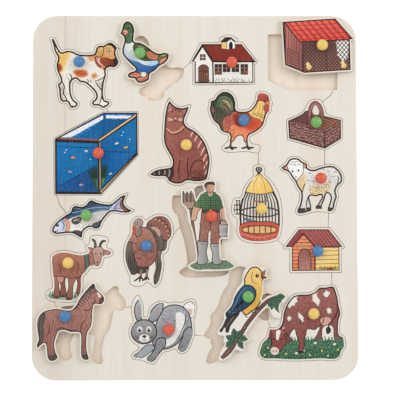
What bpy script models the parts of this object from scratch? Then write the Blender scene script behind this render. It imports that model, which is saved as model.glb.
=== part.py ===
"""Wooden peg puzzle: a plywood board with recesses for animals and farm things, and pieces with knobs.

The board lies flat with its underside on z = 0 and its middle on the z axis. +Y is the top of the picture.
Fourteen pieces sit in their recesses, and five lie loose on the board, beside their empty recesses.
"""

import math

import bpy
import numpy as np
from mathutils import Vector
from mathutils.geometry import delaunay_2d_cdt

# Board, in metres: it reaches past the outermost recesses by its borders, to 320 x 360 mm
SIDE_BORDER = 0.01195
END_BORDER = 0.0152
BOARD_CORNER_RADIUS = 0.024
BACKING_THICKNESS = 0.003
FRONT_THICKNESS = 0.005
GLUE_LINE = 0.0001

# Pieces, in metres
PIECE_THICKNESS = 0.005
PIECE_PLAY = 0.0008
SAW_KERF = 0.0009
REST_GAP = 0.0003

# Knob, in metres
KNOB_HEIGHT = 0.0085
KNOB_HEAD_DIAMETER = 0.0112
KNOB_HEAD_THICKNESS = 0.0052
KNOB_NECK_DIAMETER = 0.0066
KNOB_STEM_DIAMETER = 0.0040
STEM_INSET = 0.0008
STEM_CLEARANCE = 0.0003

# The layout is drawn in millimetres: one of them, in metres
DRAWN_MILLIMETRE = 0.001

# Fineness of the outlines, in drawn millimetres, and of what is round
SAMPLES_PER_SPAN = 8
OUTLINE_TOLERANCE = 0.20
RECESS_TOLERANCE = 0.12
SAWN_CORNER_STEP = math.radians(40)
MERGED_WITHIN = 1e-4
KNOB_SIDES = 12
CORNER_SIDES = 8

SHEET_WOOD = ("birch_plywood", "#E6DCCD", 0.62)
BACKING_WOOD = ("backing_plywood", "#DCC6AE", 0.68)
PRINT_ROUGHNESS = 0.5
PLASTICS = {
    "red": ("knob_red", "#E2492F", 0.28),
    "yellow": ("knob_yellow", "#EFC04A", 0.28),
    "green": ("knob_green", "#4FB24A", 0.28),
    "blue": ("knob_blue", "#2F77C4", 0.28),
}

# Each piece: its picture's main colour, its knob's colour, the knob's place on the board, the outline round
# that knob, and for a piece that lies loose its recess's shift and turn from there. A point is x,y in
# millimetres, and ! marks a sharp corner.
PIECES = {
    "dog": (
        "#EAD9C0", "blue", (-114.1, 133.5),
        "-28.5,24 -27,17 -25.5,10 -22.6,5 -23.8,-2 -23,-9 -20.5,-15 -19.6,-18.6 -22.3,-21 -21.3,-27 -20.8,-34"
        " -19.5,-38.5 -15.5,-41 -12.6,-40.6 -11,-43.5 -8.5,-46.5 -5,-46.5 -0.6,-43.6 -0.3,-40 -4,-37 -6.5,-32"
        " -7.2,-26 -6.5,-20 -4,-17.8 0,-21 5,-21.8 10,-26 15,-32 15.2,-35 12,-38 11.2,-41.5 14,-44.3 19,-44.6"
        " 23.5,-46.8 28,-45 31.2,-41.5 30,-38 26,-36.6 25,-33 25,-26 26,-19 27.8,-13 28,-7 31,-6 34,-6.5"
        " 38,-4.3 40.2,-0.5 38.8,4 37,9.5 38.4,14.6 35,19 31,21 27,20 23.5,17.8 19,17.8 15.5,14.5 13.8,9.6"
        " 8,9 0,9.3 -7,12.3 -13,12.8 -17.5,11.5 -20,15 -22.5,20 -25.5,24.6",
        None,
    ),
    "duck": (
        "#47709E", "green", (-54.0, 141.4),
        "-12.5,33.5 -17.1,30.6 -18.8,25 -20.8,19.5! -16.8,15.6 -17.2,10 -18.8,4 -18,-1.5 -14.5,-6 -10,-11"
        " -5.6,-16 -9.5,-17.3 -13,-20.3 -13.2,-23 -9.5,-25.5 -6,-25.8 -4.5,-28.2 -1.5,-30.3 4.5,-29.4"
        " 9.6,-26.6 10.6,-21 15,-18 20,-13.2 26,-9.5 29.2,-4.5 29.5,0.5! 25,2 18,1.2 12,4.5 6,9 0,12"
        " -5,12.8 -5.2,17 -4.5,23 -6.7,30",
        (13.0, -15.5, 0),
    ),
    "farmhouse": (
        "#8A3B44", "red", (36.7, 133.0),
        "-41,0.6! -31,19.8! -12,19.8! -12,23.8! -5.5,27.4 0.3,26.8 6,23.4! 5.2,20.3! 10,20.3! 25,1.4!"
        " 23.8,-0.8! 22.3,-0.8! 22.3,-20.8! -38,-21.8! -38,-0.6!",
        None,
    ),
    "coop": (
        "#D9463F", "yellow", (125.9, 149.4),
        "-40.4,24.7! 13.8,28.3! 32.3,6.6! 31.4,5.2! 28.7,5.2! 29.4,-25.4! -18,-28.4! -37.9,-20.2!",
        (-13.5, -15.8, -3.4),
    ),
    "aquarium": (
        "#1F78C0", "red", (-95.1, 42.9),
        "-43.4,14.8! 5,41! 38.8,41! 39.3,-1.6! 3,-41! -43,-40.7!",
        None,
    ),
    "cat": (
        "#9A5450", "yellow", (-8.5, 50.9),
        "-16.8,46.8! -20,40 -21,34 -22.3,28 -22.5,20 -23.2,12 -23.3,5 -21.5,-2 -17.5,-9 -14.8,-15"
        " -15.6,-20.4 -20,-21.5 -28,-22.8 -34,-25.5 -37.2,-29.4 -34,-31.2 -27,-32 -20.4,-32.6 -18.5,-35.8"
        " -16,-37.6 -9,-39.4 -3,-38.3 0,-36.4 8,-37 16,-36.5 20.8,-34.5 22.5,-29 24,-21 24.4,-14 22.8,-6"
        " 20,2 15.5,9 10,14.5 5,17.5 0.8,20.3 -0.8,24.4 0.8,29 2.8,34 4.4,40.6! -4,38.2 -10,39.7",
        None,
    ),
    "rooster": (
        "#E0562F", "blue", (48.3, 75.2),
        "-20,30.3 -26,27 -30,21.9 -33.4,21 -34,17 -35,11.5 -33.5,5.5 -30.5,-1 -26,-5 -23.5,-10.5 -18.6,-13.2"
        " -15.4,-14 -15.6,-20 -18.5,-23.2 -21.4,-28.3 -18,-30.3 -12,-30.9 -4,-30.2 6,-30.6 14.4,-31 15.9,-28"
        " 14.6,-24.2 8,-23 5.4,-19.6 6,-15.8 11,-13 16.5,-9.2 20.5,-4.5 22.5,1.5 24.2,6.8 26.8,9.5 27,14"
        " 28.3,18 26.8,21 26.3,25 23,28 18,29 12.9,27 12,22.5 10,17 4.6,11.4 -1,10.4 -6.2,11.4 -6.7,18 -9,25"
        " -14,29.5",
        None,
    ),
    "basket": (
        "#8A5A56", "green", (119.8, 73.2),
        "-28.8,2.8! -11,13 -8.8,17 -6,21.5 -0.5,23 5,21.8 8,16 10.4,8.8 17,6 25.8,3.8! 25.8,-16.5! 8.8,-27!"
        " -27.8,-16.5!",
        None,
    ),
    "fish": (
        "#9FB0C8", "green", (-106.7, -18.6),
        "-35,-14.4 -32.5,-8.5 -27,-3 -21,1.5 -16.3,4.5 -15,8.3 -11.5,10.8 -4,10 -1,11.5 1.9,15.2 5,16.3"
        " 10,14.2 17,12.7 23.5,12.5 28,15.5 33,19.8 40.5,22.2! 38.8,16.5 37.6,12.4 40,8.9 47,5.4! 42,2.2"
        " 34,2 28.5,3 24,2.5 21,-0.5 17.5,-4.5 15.2,-8.5 14,-12 9,-14 4,-12.2 -2,-15.6 -4.4,-22.9"
        " -10,-20.3 -14,-18.4 -22,-18.5 -31,-18.8 -34,-17",
        None,
    ),
    "turkey": (
        "#9A5F52", "blue", (-47.9, -48.5),
        "-8.5,29 -13.3,26 -15.5,20 -15.3,14 -17.5,9 -20.5,3 -22,-4 -22,-13 -20,-21 -17,-27.5 -15.6,-31.5"
        " -16,-36.2 -10,-39.3 -3,-38.2 0,-35.4 4,-36.8 8.4,-40.2 12,-37.6 15.5,-28 17,-18 16.4,-9 20.5,-5"
        " 22,1 22.3,4.2 25,7.4 26.5,14 25.8,21 22,28 16,31 9,30.5 3,27.5 0,25.2 -4.4,28.4",
        None,
    ),
    "farmer": (
        "#4A7A58", "red", (16.1, -19.9),
        "-2,35.7 -6.8,34 -8.5,30 -7,25.7 -11.2,22.8 -15,16.6! -16.2,21 -18.2,27.3 -23,26 -28.8,26.2"
        " -29.7,20 -28.9,12 -24.6,7 -23.5,1 -22.3,-5 -19.6,-13 -18,-20 -16.5,-28 -15.6,-36 -16,-43.5"
        " -20,-45.6 -23.5,-49 -19,-52.3 -5,-53.4 8,-53.1 19.3,-51.8 23.6,-49.2 18.4,-44 14,-41.5"
        " 10.2,-41.4 9.3,-36 8.8,-28 9.4,-22.2 16.9,-21.8! 17.3,-7 15.2,-3 14.4,3 12.6,10 11.5,15 9.5,20.5"
        " 5.3,24.4 4.3,27.6 4.8,34.4",
        (-8.0, -5.5, 0.5),
    ),
    "birdcage": (
        "#F2CF78", "yellow", (65.5, -12.3),
        "-2.5,43.8 -7,42 -8,38.5 -7.2,34.4 -12.5,28 -17.5,19.5 -20.6,11.4 -26.6,10 -29,3 -28,-5.6 -24.2,-9"
        " -24,-22 -21.5,-28.5 -13,-32.5 -2.5,-33.5 8.5,-32.3 16.5,-29 19,-22 20,-8 19.5,3 17.3,14 13.5,22"
        " 7.5,30 2.6,35 3.1,39 1.5,42.5",
        None,
    ),
    "sheep": (
        "#EFEAE0", "red", (124.0, 17.8),
        "-25,21.8 -31.5,20 -35,15 -40,11 -37.5,7.5 -33.2,6 -29,0 -25.8,-4.5 -24.5,-8 -20.8,-14 -21,-21"
        " -22.5,-27 -24.6,-31 -23.2,-35.3 -17,-35.4 -10.5,-33.5 -3,-32.3 4,-33.3 10,-33.6 13.6,-31 15,-25"
        " 17.2,-18 16.2,-12 18.5,-7.5 21.9,-4.2 22.3,3 19.5,8.5 13,13.5 6.5,13.8 -1,12 -8,10.1 -11.8,11.6"
        " -12.2,15 -17.5,18 -21,21",
        None,
    ),
    "goat": (
        "#A05C52", "yellow", (-124.5, -65.3),
        "26,27 21.5,24.8 21.2,21 20.5,18.6 16.8,16.4 19,11.4 14,9.6 5,10.6 -1,12 -7,12 -13,10.5 -16.8,7.5"
        " -17.3,0 -16.5,-11 -15.2,-19 -15.6,-24.6 -19.5,-26.5 -22,-31 -18.5,-36 -10,-37.3 2,-37.9 8.3,-36.4"
        " 11.4,-33 13.6,-28 14.3,-20 14.6,-13.4 18,-9.5 22.5,-4.2 28.5,-5.3 32,-3 33.8,1.5 35.5,5.8 40,6.3"
        " 43.8,9.6 42.2,13 37.6,15.3 37.4,18.6 39.2,21.6 37.4,25.2 31,26.4",
        None,
    ),
    "kennel": (
        "#E8825A", "blue", (120.4, -54.1),
        "-33.5,4.4! -19,23.3! 12,23.3! 26.4,4.8! 25,2.8! 23,2.8! 23.2,-20.2! -26.8,-20.7! -26.8,2.9!"
        " -32.4,2.9!",
        None,
    ),
    "horse": (
        "#96544E", "blue", (-127.0, -117.8),
        "26.5,33.3 23.8,30.6 17,23.3 12.5,17 9,10.6 5.5,7.4 0,7.3 -8,8.8 -15.5,7.8 -21,6.2 -25.5,2.5"
        " -28.2,-4 -28.3,-13 -27,-22 -28.8,-28 -27.6,-31.8 -24,-29.6 -20.4,-26.8 -18.9,-33 -18,-40"
        " -15.5,-43.8 -11,-44 -6.3,-40.4 -8.5,-34 -9.7,-27 -8,-20 -5.7,-15 -2,-14 5,-16.2 13.8,-16.8"
        " 14.3,-24 14.3,-33 15,-39.5 17.5,-42.7 24,-42 23.5,-38 22,-33 21.8,-24 23,-15 26,-10 27.2,-2"
        " 27.8,7 29.2,11.3 34.5,10.8 38.7,14.5 38.7,19 34.5,24.5 30.5,28.5 29.3,32.5",
        (17.6, 0.1, -7.8),
    ),
    "rabbit": (
        "#9FA4AC", "red", (-25.8, -130.6),
        "-30.5,33.3 -34.5,29 -36.3,22 -36,15 -34.6,8.5 -37.5,3 -38.8,-3 -36.8,-10 -31.5,-14.5 -29,-17"
        " -30,-19.8 -34.5,-22.5 -36.5,-26.5 -34,-28.7 -28,-29.2 -20.5,-32 -15,-33.3 -11.5,-29.5 -5,-21.7"
        " 1,-20.3 6.2,-18.4 9.5,-22 13,-23.3 17.5,-21 21.5,-13.5 24.8,-4 24.6,1 24,8 26.5,17 27,24 24,29.5"
        " 18,28.8 13,26.4 5,26.7 -1.5,25.8 -5.5,27.5 -9.5,27.3 -15.5,24.5 -19.5,18.5 -21.4,12.2 -24.6,12.2"
        " -25,18 -26.5,27",
        None,
    ),
    "bird": (
        "#F0C95F", "green", (51.6, -98.7),
        "7,31.2 1.5,30 -3,26.5 -4.8,20 -5.9,14 -10.5,8 -14.2,0 -16.4,-7 -19.5,-11.5 -23.8,-17 -23.3,-21"
        " -26,-28 -30,-35.6 -27.4,-37.5 -23.5,-38.2 -24,-42.4 -22.6,-46.8 -25.4,-50.6 -27.5,-56"
        " -28.4,-61.8 -24.6,-62 -17,-57.5 -12.2,-51.4 -6,-53.1 -3.2,-50.6 -3.6,-45.6 1.4,-42 -1.8,-37.4"
        " 1.8,-30 9,-20.7 16,-12.6 20.2,-10.6 22,-15 25.5,-19.6 31.8,-20.4 32.6,-17.6 31.2,-12.6 32.6,-6.6"
        " 36.6,-4.8 38,-1.2 35.5,2.8 32,4.4 27,2.3 20,0.9 13.4,-3.4 14.8,3 15,10 15.6,15.6 21,17.7!"
        " 18,22.5 19.8,28.6 13,28.8",
        (-12.6, -2.0, 1.0),
    ),
    "cow": (
        "#8E5350", "yellow", (116.1, -115.5),
        "18.5,28.3 12,27.3 6,27 0.5,22.5 -5,20.6 -13,20.3 -20,18.6 -24.6,14 -28.6,7 -30.7,0 -31.6,-7"
        " -35,-12.8 -39,-13.8 -43.6,-13.7 -44.8,-17.2 -45.8,-22 -50,-26.5 -53.3,-33 -54.1,-39.5 -51,-43.6"
        " -40,-44.8 -15,-45.7 8,-44.8 23.6,-44.2 26.7,-41.6 27.9,-37 30.8,-33 30.8,-27 29.4,-21.8"
        " 26.2,-20.4 25.4,-15 26,-6 27.7,0 26.2,8 25,16 22.7,23 21,27.4",
        None,
    ),
}

# Saw passages, the thin cuts where the blade went from recess to recess: x,y on the board in millimetres
SAW_PASSAGES = (
    "-76.5,147.7 -60.5,145.4",
    "-88.4,88.6 -86.6,86.2 -85.4,82.8",
    "-15,123.6 -3.4,134.4",
    "-137,3.4 -133,-7.5 -126.4,-16.6",
    "-112.5,-40.2 -105.6,-49.6",
    "-141,-99 -137.4,-105.4 -132.6,-113",
    "-70.5,-109.6 -60.4,-107.4",
    "-2.6,-135.6 10.6,-137.2",
    "68.6,-119 72.6,-125 73.6,-130.6",
    "134.5,-89.6 134.3,-73",
    "131.7,-14.4 131.2,-32",
    "80,-41.6 89,-50.6",
    "128.4,48 128,30",
    "124.6,92.6 134,100.5 139.6,108.4",
    "62.6,46 63,30",
    "-22.4,-39.4 -18,-33 -13,-28.6",
)

RECESS_FLOOR = BACKING_THICKNESS
FRONT_BOTTOM = BACKING_THICKNESS + GLUE_LINE
FRONT_TOP = FRONT_BOTTOM + FRONT_THICKNESS


def linear_colour(hex_colour):
    """The sRGB hex colour as linear RGBA."""
    channels = [int(hex_colour[i : i + 2], 16) / 255 for i in (1, 3, 5)]
    return [c / 12.92 if c <= 0.04045 else ((c + 0.055) / 1.055) ** 2.4 for c in channels] + [1.0]


def make_material(name, hex_colour, roughness):
    material = bpy.data.materials.new(name)
    material.use_nodes = True
    shader = material.node_tree.nodes["Principled BSDF"]
    shader.inputs["Base Color"].default_value = linear_colour(hex_colour)
    shader.inputs["Roughness"].default_value = roughness
    shader.inputs["Metallic"].default_value = 0.0
    material.diffuse_color = linear_colour(hex_colour)
    return material


def read_points(text):
    """The points of an outline and which of them are sharp corners."""
    words = text.split()
    sharp = [word.endswith("!") for word in words]
    return np.array([word.rstrip("!").split(",") for word in words], float), np.array(sharp)


def smooth_loop(points, sharp):
    """A closed curve of cubic spans through the points, whose slope leans to the nearer neighbour."""
    ahead = np.roll(points, -1, axis=0) - points
    length = np.linalg.norm(ahead, axis=1, keepdims=True)
    chord = ahead / length
    chord_before, length_before = np.roll(chord, 1, axis=0), np.roll(length, 1, axis=0)
    slope = (chord * length_before + chord_before * length) / (length + length_before)
    start = np.where(sharp[:, None], chord, slope) * length
    end_sharp = np.roll(sharp, -1)[:, None]
    end = np.where(end_sharp, chord, np.roll(slope, -1, axis=0)) * length
    t = (np.arange(SAMPLES_PER_SPAN) / SAMPLES_PER_SPAN)[None, :, None]
    after = np.roll(points, -1, axis=0)
    spans = (
        (2 * t**3 - 3 * t**2 + 1) * points[:, None]
        + (t**3 - 2 * t**2 + t) * start[:, None]
        + (3 * t**2 - 2 * t**3) * after[:, None]
        + (t**3 - t**2) * end[:, None]
    )
    return spans.reshape(-1, 2)


def thin_run(points, tolerance):
    """An open run of points with those left out that lie within the tolerance of the line that stays."""
    if len(points) < 3:
        return points[:-1]
    line = points[-1] - points[0]
    offset = points - points[0]
    far = np.abs(line[0] * offset[:, 1] - line[1] * offset[:, 0]) / max(np.hypot(*line), 1e-9)
    widest = int(far.argmax())
    if far[widest] < tolerance or widest in (0, len(points) - 1):
        return points[:1]
    return np.vstack([thin_run(points[: widest + 1], tolerance), thin_run(points[widest:], tolerance)])


def thin_loop(loop, tolerance):
    """A closed loop with fewer points, nowhere further than the tolerance from the full one."""
    first = int(loop[:, 1].argmax())
    loop = np.roll(loop, -first, axis=0)
    far = int(np.linalg.norm(loop - loop[0], axis=1).argmax())
    closed = np.vstack([loop, loop[:1]])
    return np.vstack([thin_run(closed[: far + 1], tolerance), thin_run(closed[far:], tolerance)])


def counter_clockwise(loop):
    after = np.roll(loop, -1, axis=0)
    area = (loop[:, 0] * after[:, 1] - loop[:, 1] * after[:, 0]).sum()
    return loop if area > 0 else loop[::-1]


def piece_outline(name):
    """The piece's outline round its knob, in drawn millimetres."""
    points, sharp = read_points(PIECES[name][3])
    return counter_clockwise(thin_loop(smooth_loop(points, sharp), OUTLINE_TOLERANCE))


def recess_place(name):
    """Where the piece belongs on the board: x, y and turn."""
    _, _, (x, y), _, shift = PIECES[name]
    return (x + shift[0], y + shift[1], math.radians(shift[2])) if shift else (x, y, 0.0)


def moved(loop, x, y, turn):
    cos, sin = math.cos(turn), math.sin(turn)
    return loop @ np.array([[cos, sin], [-sin, cos]]) + (x, y)


def outward(edge):
    """The direction square to an edge of a counter-clockwise loop, away from its inside."""
    return np.array([edge[1], -edge[0]]) / np.hypot(*edge)


def grown(loop, play):
    """Faces that cover the loop and the play round it: itself, a strip by each edge, a fan at each corner."""
    faces = [loop]
    for before, here, after in zip(np.roll(loop, 1, axis=0), loop, np.roll(loop, -1, axis=0)):
        leaving, arriving = outward(after - here), outward(here - before)
        faces.append(np.array([after, here, here + leaving * play, after + leaving * play]))
        turn = math.atan2(arriving[0] * leaving[1] - arriving[1] * leaving[0], arriving @ leaving)
        if turn > 1e-3:
            steps = max(1, math.ceil(turn / SAWN_CORNER_STEP))
            angles = math.atan2(arriving[1], arriving[0]) + turn * np.arange(steps + 1) / steps
            arc = here + play * np.column_stack([np.cos(angles), np.sin(angles)])
            faces.append(np.vstack([here, arc]))
    return faces


def saw_passage(text, kerf):
    """Strips as wide as the blade along a passage."""
    points = read_points(text)[0]
    faces = []
    for start, end in zip(points[:-1], points[1:]):
        side = outward(end - start) * kerf / 2
        along = (end - start) / np.hypot(*(end - start)) * kerf / 4
        faces.append(
            np.array([end + along - side, start - along - side, start - along + side, end + along + side])
        )
    return faces


def joined_loops(faces):
    """The outlines of what the faces cover together."""
    corners = [Vector(point) for face in faces for point in face]
    ends = np.cumsum([0] + [len(face) for face in faces])
    indices = [list(range(start, end)) for start, end in zip(ends[:-1], ends[1:])]
    found, _, triangles, _, _, sources = delaunay_2d_cdt(corners, [], indices, 1, MERGED_WITHIN)
    covered = [triangle for triangle, source in zip(triangles, sources) if source]
    edges = {(t[i], t[(i + 1) % len(t)]) for t in covered for i in range(len(t))}
    following = {start: end for start, end in edges if (end, start) not in edges}
    loops = []
    while following:
        start, here = following.popitem()
        loop = [start]
        while here != start:
            loop.append(here)
            here = following.pop(here)
        loops.append(np.array([found[i] for i in loop]))
    return loops


def recess_loops():
    """The outlines of everything sawn out of the front sheet, in metres."""
    faces = []
    for name in PIECES:
        outline = moved(piece_outline(name), *recess_place(name))
        faces += grown(outline, PIECE_PLAY / DRAWN_MILLIMETRE)
    for passage in SAW_PASSAGES:
        faces += saw_passage(passage, SAW_KERF / DRAWN_MILLIMETRE)
    return [thin_loop(loop, RECESS_TOLERANCE) * DRAWN_MILLIMETRE for loop in joined_loops(faces)]


def board_outline(recesses):
    """A rectangle with round corners about the origin, its borders wide of the recesses, in metres."""
    half_size = np.abs(np.vstack(recesses)).max(axis=0) + (SIDE_BORDER, END_BORDER)
    loop = []
    for sides, first in (((1, 1), 0), ((-1, 1), 90), ((-1, -1), 180), ((1, -1), 270)):
        centre = sides * (half_size - BOARD_CORNER_RADIUS)
        for angle in np.radians(first + 90 * np.arange(CORNER_SIDES + 1) / CORNER_SIDES):
            loop.append(centre + BOARD_CORNER_RADIUS * np.array([math.cos(angle), math.sin(angle)]))
    return np.array(loop)


def circle(radius):
    angles = 2 * math.pi * np.arange(KNOB_SIDES) / KNOB_SIDES
    return radius * np.column_stack([np.cos(angles), np.sin(angles)])


def flat_sheet(name, loops, bottom, thickness, place, material, collection):
    """A sheet sawn along the loops, the first of which is its outer edge, standing on the height given."""
    curve = bpy.data.curves.new(name, "CURVE")
    curve.dimensions = "2D"
    curve.fill_mode = "BOTH"
    curve.extrude = thickness / 2
    for loop in loops:
        spline = curve.splines.new("POLY")
        spline.points.add(len(loop) - 1)
        points = np.column_stack([loop, np.zeros(len(loop)), np.ones(len(loop))])
        spline.points.foreach_set("co", points.ravel())
        spline.use_cyclic_u = True
    curve.materials.append(material)
    sheet = bpy.data.objects.new(name, curve)
    sheet.location = (*place, bottom + thickness / 2)
    collection.objects.link(sheet)
    return sheet


def knob_mesh(colour, material):
    """The knob's profile about the z axis, from the top of its dome to the end of its stem."""
    head = KNOB_HEAD_DIAMETER / 2
    head_bottom = KNOB_HEIGHT - KNOB_HEAD_THICKNESS
    stem_end = STEM_INSET - PIECE_THICKNESS
    profile = [
        (0, KNOB_HEIGHT),
        (0.52 * head, KNOB_HEIGHT - 0.10 * KNOB_HEAD_THICKNESS),
        (0.86 * head, KNOB_HEIGHT - 0.34 * KNOB_HEAD_THICKNESS),
        (head, KNOB_HEIGHT - 0.66 * KNOB_HEAD_THICKNESS),
        (0.90 * head, head_bottom),
        (KNOB_NECK_DIAMETER / 2, head_bottom),
        (KNOB_NECK_DIAMETER / 2, REST_GAP),
        (KNOB_STEM_DIAMETER / 2, REST_GAP),
        (KNOB_STEM_DIAMETER / 2, stem_end),
        (0, stem_end),
    ]
    mesh = bpy.data.meshes.new("knob_" + colour)
    mesh.from_pydata([(x, 0, z) for x, z in profile], [(i, i + 1) for i in range(len(profile) - 1)], [])
    mesh.materials.append(material)
    return mesh


def add_knob(name, mesh, piece, collection):
    """The knob pressed into a piece, with its origin on the piece's face."""
    turned = bpy.data.objects.new(name, mesh)
    turned.parent = piece
    turned.location = (0, 0, PIECE_THICKNESS / 2)
    screw = turned.modifiers.new("turned", "SCREW")
    screw.steps = screw.render_steps = KNOB_SIDES
    screw.use_merge_vertices = True
    screw.merge_threshold = 1e-6
    screw.use_smooth_shade = True
    collection.objects.link(turned)


def build():
    for obj in list(bpy.data.objects):
        bpy.data.objects.remove(obj)
    collection = bpy.data.collections.new("animal_peg_puzzle")
    bpy.context.scene.collection.children.link(collection)
    wood = make_material(*SHEET_WOOD)
    meshes = {colour: knob_mesh(colour, make_material(*plastic)) for colour, plastic in PLASTICS.items()}

    recesses = recess_loops()
    edge = board_outline(recesses)
    backing_wood = make_material(*BACKING_WOOD)
    flat_sheet("backing_sheet", [edge], 0.0, BACKING_THICKNESS, (0, 0), backing_wood, collection)
    flat_sheet("cutout_sheet", [edge, *recesses], FRONT_BOTTOM, FRONT_THICKNESS, (0, 0), wood, collection)

    stem_hole = circle(KNOB_STEM_DIAMETER / 2 + STEM_CLEARANCE)
    for name, (print_colour, knob_colour, drawn_place, _, loose) in PIECES.items():
        place = [DRAWN_MILLIMETRE * at for at in drawn_place]
        bottom = (FRONT_TOP if loose else RECESS_FLOOR) + REST_GAP
        loops = [piece_outline(name) * DRAWN_MILLIMETRE, stem_hole]
        picture = make_material(name + "_print", print_colour, PRINT_ROUGHNESS)
        piece = flat_sheet(name + "_piece", loops, bottom, PIECE_THICKNESS, place, picture, collection)
        add_knob(name + "_knob", meshes[knob_colour], piece, collection)


build()
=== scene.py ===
"""Looks of a wooden peg puzzle: birch plywood board, printed plywood pieces and moulded plastic knobs.

The sheets and pieces take their outlines from the frame's nodes, which they replace. A piece's picture is drawn
round its knob, as flat shapes one over another, and becomes coloured faces of the piece's top. Outlines, pictures
and sizes that end in _MM are in millimetres, and all other lengths are in metres.
"""

import math

import bpy
import bmesh
import numpy as np
from mathutils import Matrix, Vector
from mathutils.geometry import delaunay_2d_cdt


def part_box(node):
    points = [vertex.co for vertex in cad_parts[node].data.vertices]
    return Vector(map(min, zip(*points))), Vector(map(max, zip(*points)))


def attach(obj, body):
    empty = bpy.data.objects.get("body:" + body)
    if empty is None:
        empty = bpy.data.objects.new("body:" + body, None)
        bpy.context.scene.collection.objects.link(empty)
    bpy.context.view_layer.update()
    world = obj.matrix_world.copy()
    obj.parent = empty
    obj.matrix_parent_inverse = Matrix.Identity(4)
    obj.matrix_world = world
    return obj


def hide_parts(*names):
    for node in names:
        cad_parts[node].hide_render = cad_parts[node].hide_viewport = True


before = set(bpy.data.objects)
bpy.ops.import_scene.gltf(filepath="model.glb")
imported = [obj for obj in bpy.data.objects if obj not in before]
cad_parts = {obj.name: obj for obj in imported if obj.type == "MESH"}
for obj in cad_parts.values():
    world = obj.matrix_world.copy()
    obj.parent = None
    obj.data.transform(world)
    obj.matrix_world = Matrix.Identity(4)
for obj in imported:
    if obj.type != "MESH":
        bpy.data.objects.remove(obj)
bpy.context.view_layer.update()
rng = np.random.default_rng(19)

MM = 0.001
TINY = 1e-9

# Sawn edges, sanded by hand: their rounding and its rows of faces, and the steps along an outline
EDGE_ROUNDING_MM = 0.35
EDGE_ROWS = 4
OUTLINE_STEP_MM = 0.8

# Outlines read from the CAD: faces whose normal has a Z over this are the top, points this near are one, a corner
# is sharp from this turn times its shorter side, and a curve's tangents reach this far sideways at most
UPWARD = 0.9
MERGED_WITHIN_MM = 1e-4
SHARP_TURN_MM = 2.8
SAWN_BOW_MM = 0.8

# The openings are narrower and the printed pieces larger than in the CAD, all round
NARROWED_MM = 0.24
GROWN_MM = 0.2

# A corner's mitre grows as 1 + cos of its turn falls, down to this value. Where a moved loop folds over itself, its
# mitres there are shortened to this share, in this many rounds at most
LEAST_MITRE = 0.4
UNFOLDING_SHARE = 0.7
UNFOLDING_ROUNDS = 12

# Print: the bare margin round a picture, its dark contour, the steps along shapes, how much wider than drawn a pen
# line comes out, how far a shape's tangents reach sideways, and how far its edges stay clear of the knob's hole
MARGIN_MM = 1.4
CONTOUR_MM = 1.6
PRINT_STEP_MM = 0.7
INK_SPREAD_MM = 0.15
FREE_BOW_MM = 8.0
CLEAR_OF_HOLE_MM = 0.4

# Long rows across a shape: the step of the walk along them, how far they run on past the shape, and the distances
# between their bends and from the outermost bends to their ends
WALK_MM = 0.3
OVERRUN_MM = 0.5
BENDS_MM = 4.0
LAST_BEND_MM = 0.7

# Plywood: a ply and the glue line on it. The board's face is joined from two strips of veneer, at this X. The joint
# shows this far to each side, comes in between these two Ys, and from this far to its right the wood gets redder
PLY_MM = 1.0
GLUE_LINE_MM = 0.1
VENEER_JOINT_MM = -128.0
JOINT_WIDTH_MM = 1.6
JOINT_FADES_MM = (-150.0, 60.0)
REDDENED_MM = 28.0

# The grit of ink and the swirls in plastic are finer than a pixel of the picture, and drawn this coarse to show
GRIT_MM = 10 / 9
SWIRL_MM = 100 / 26

# Knobs: their sides, the steps along the profile, and the profile's half width and height over the piece's face
KNOB_SIDES = 40
KNOB_STEP_MM = 0.45
KNOB_PROFILE_MM = (
    "0,8.38 0.7,8.40 1.15,8.5 2.2,8.36 3.5,7.86 4.6,6.95 5.35,5.85 5.6,4.85 5.42,3.95 5.0,3.42 4.2,3.3 3.6,3.1"
    " 3.32,2.5 3.2,1.6 3.25,0.9 3.3,0.3! 2.0,0.3! 2.0,-4.2! 0,-4.2!"
)

# The camera as the photograph gives it, from a guessed distance. The frame is square, and its pixels are only a
# measure of angles here
CAMERA_DISTANCE = 2.0
CAMERA_TILT = math.radians(4.42)
CAMERA_PAN = math.radians(-0.74)
CAMERA_ROLL = math.radians(-0.117)
CAMERA_AIM = Vector((0.0, 0.0, 0.0081))
FOCAL_PIXELS = 2030.6
PRINCIPAL_PIXEL = (194.94, 196.74)
FRAME_PIXELS = 400
SENSOR_MM = 36.0

# Studio: square softboxes, an even white world, and paper that lies just below the board
SOFTBOX_SIZE = 1.1
WORLD_STRENGTH = 0.735
PAPER_HALF = 6.0
PAPER_DROP = 0.0002
PAPER_SHINE = 0.60


# Camera and lights


def add_camera():
    """Looks down at the board from just below its middle, as the photograph does."""
    away = Vector(
        (
            math.sin(CAMERA_PAN),
            -math.sin(CAMERA_TILT) * math.cos(CAMERA_PAN),
            math.cos(CAMERA_TILT) * math.cos(CAMERA_PAN),
        )
    )
    right = Vector((0, 1, 0)).cross(away).normalized()
    right = Matrix.Rotation(CAMERA_ROLL, 3, away) @ right
    up = away.cross(right)
    data = bpy.data.cameras.new("camera")
    data.lens = FOCAL_PIXELS * SENSOR_MM / FRAME_PIXELS
    data.sensor_width = SENSOR_MM
    data.shift_x = 0.5 - PRINCIPAL_PIXEL[0] / FRAME_PIXELS
    data.shift_y = PRINCIPAL_PIXEL[1] / FRAME_PIXELS - 0.5
    data.dof.use_dof = False
    data.clip_start = 0.01
    data.clip_end = 100
    camera = bpy.data.objects.new("camera", data)
    turn = Matrix((right, up, away)).transposed().to_4x4()
    camera.matrix_world = Matrix.Translation(CAMERA_AIM + CAMERA_DISTANCE * away) @ turn
    bpy.context.scene.collection.objects.link(camera)
    bpy.context.scene.camera = camera


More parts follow.
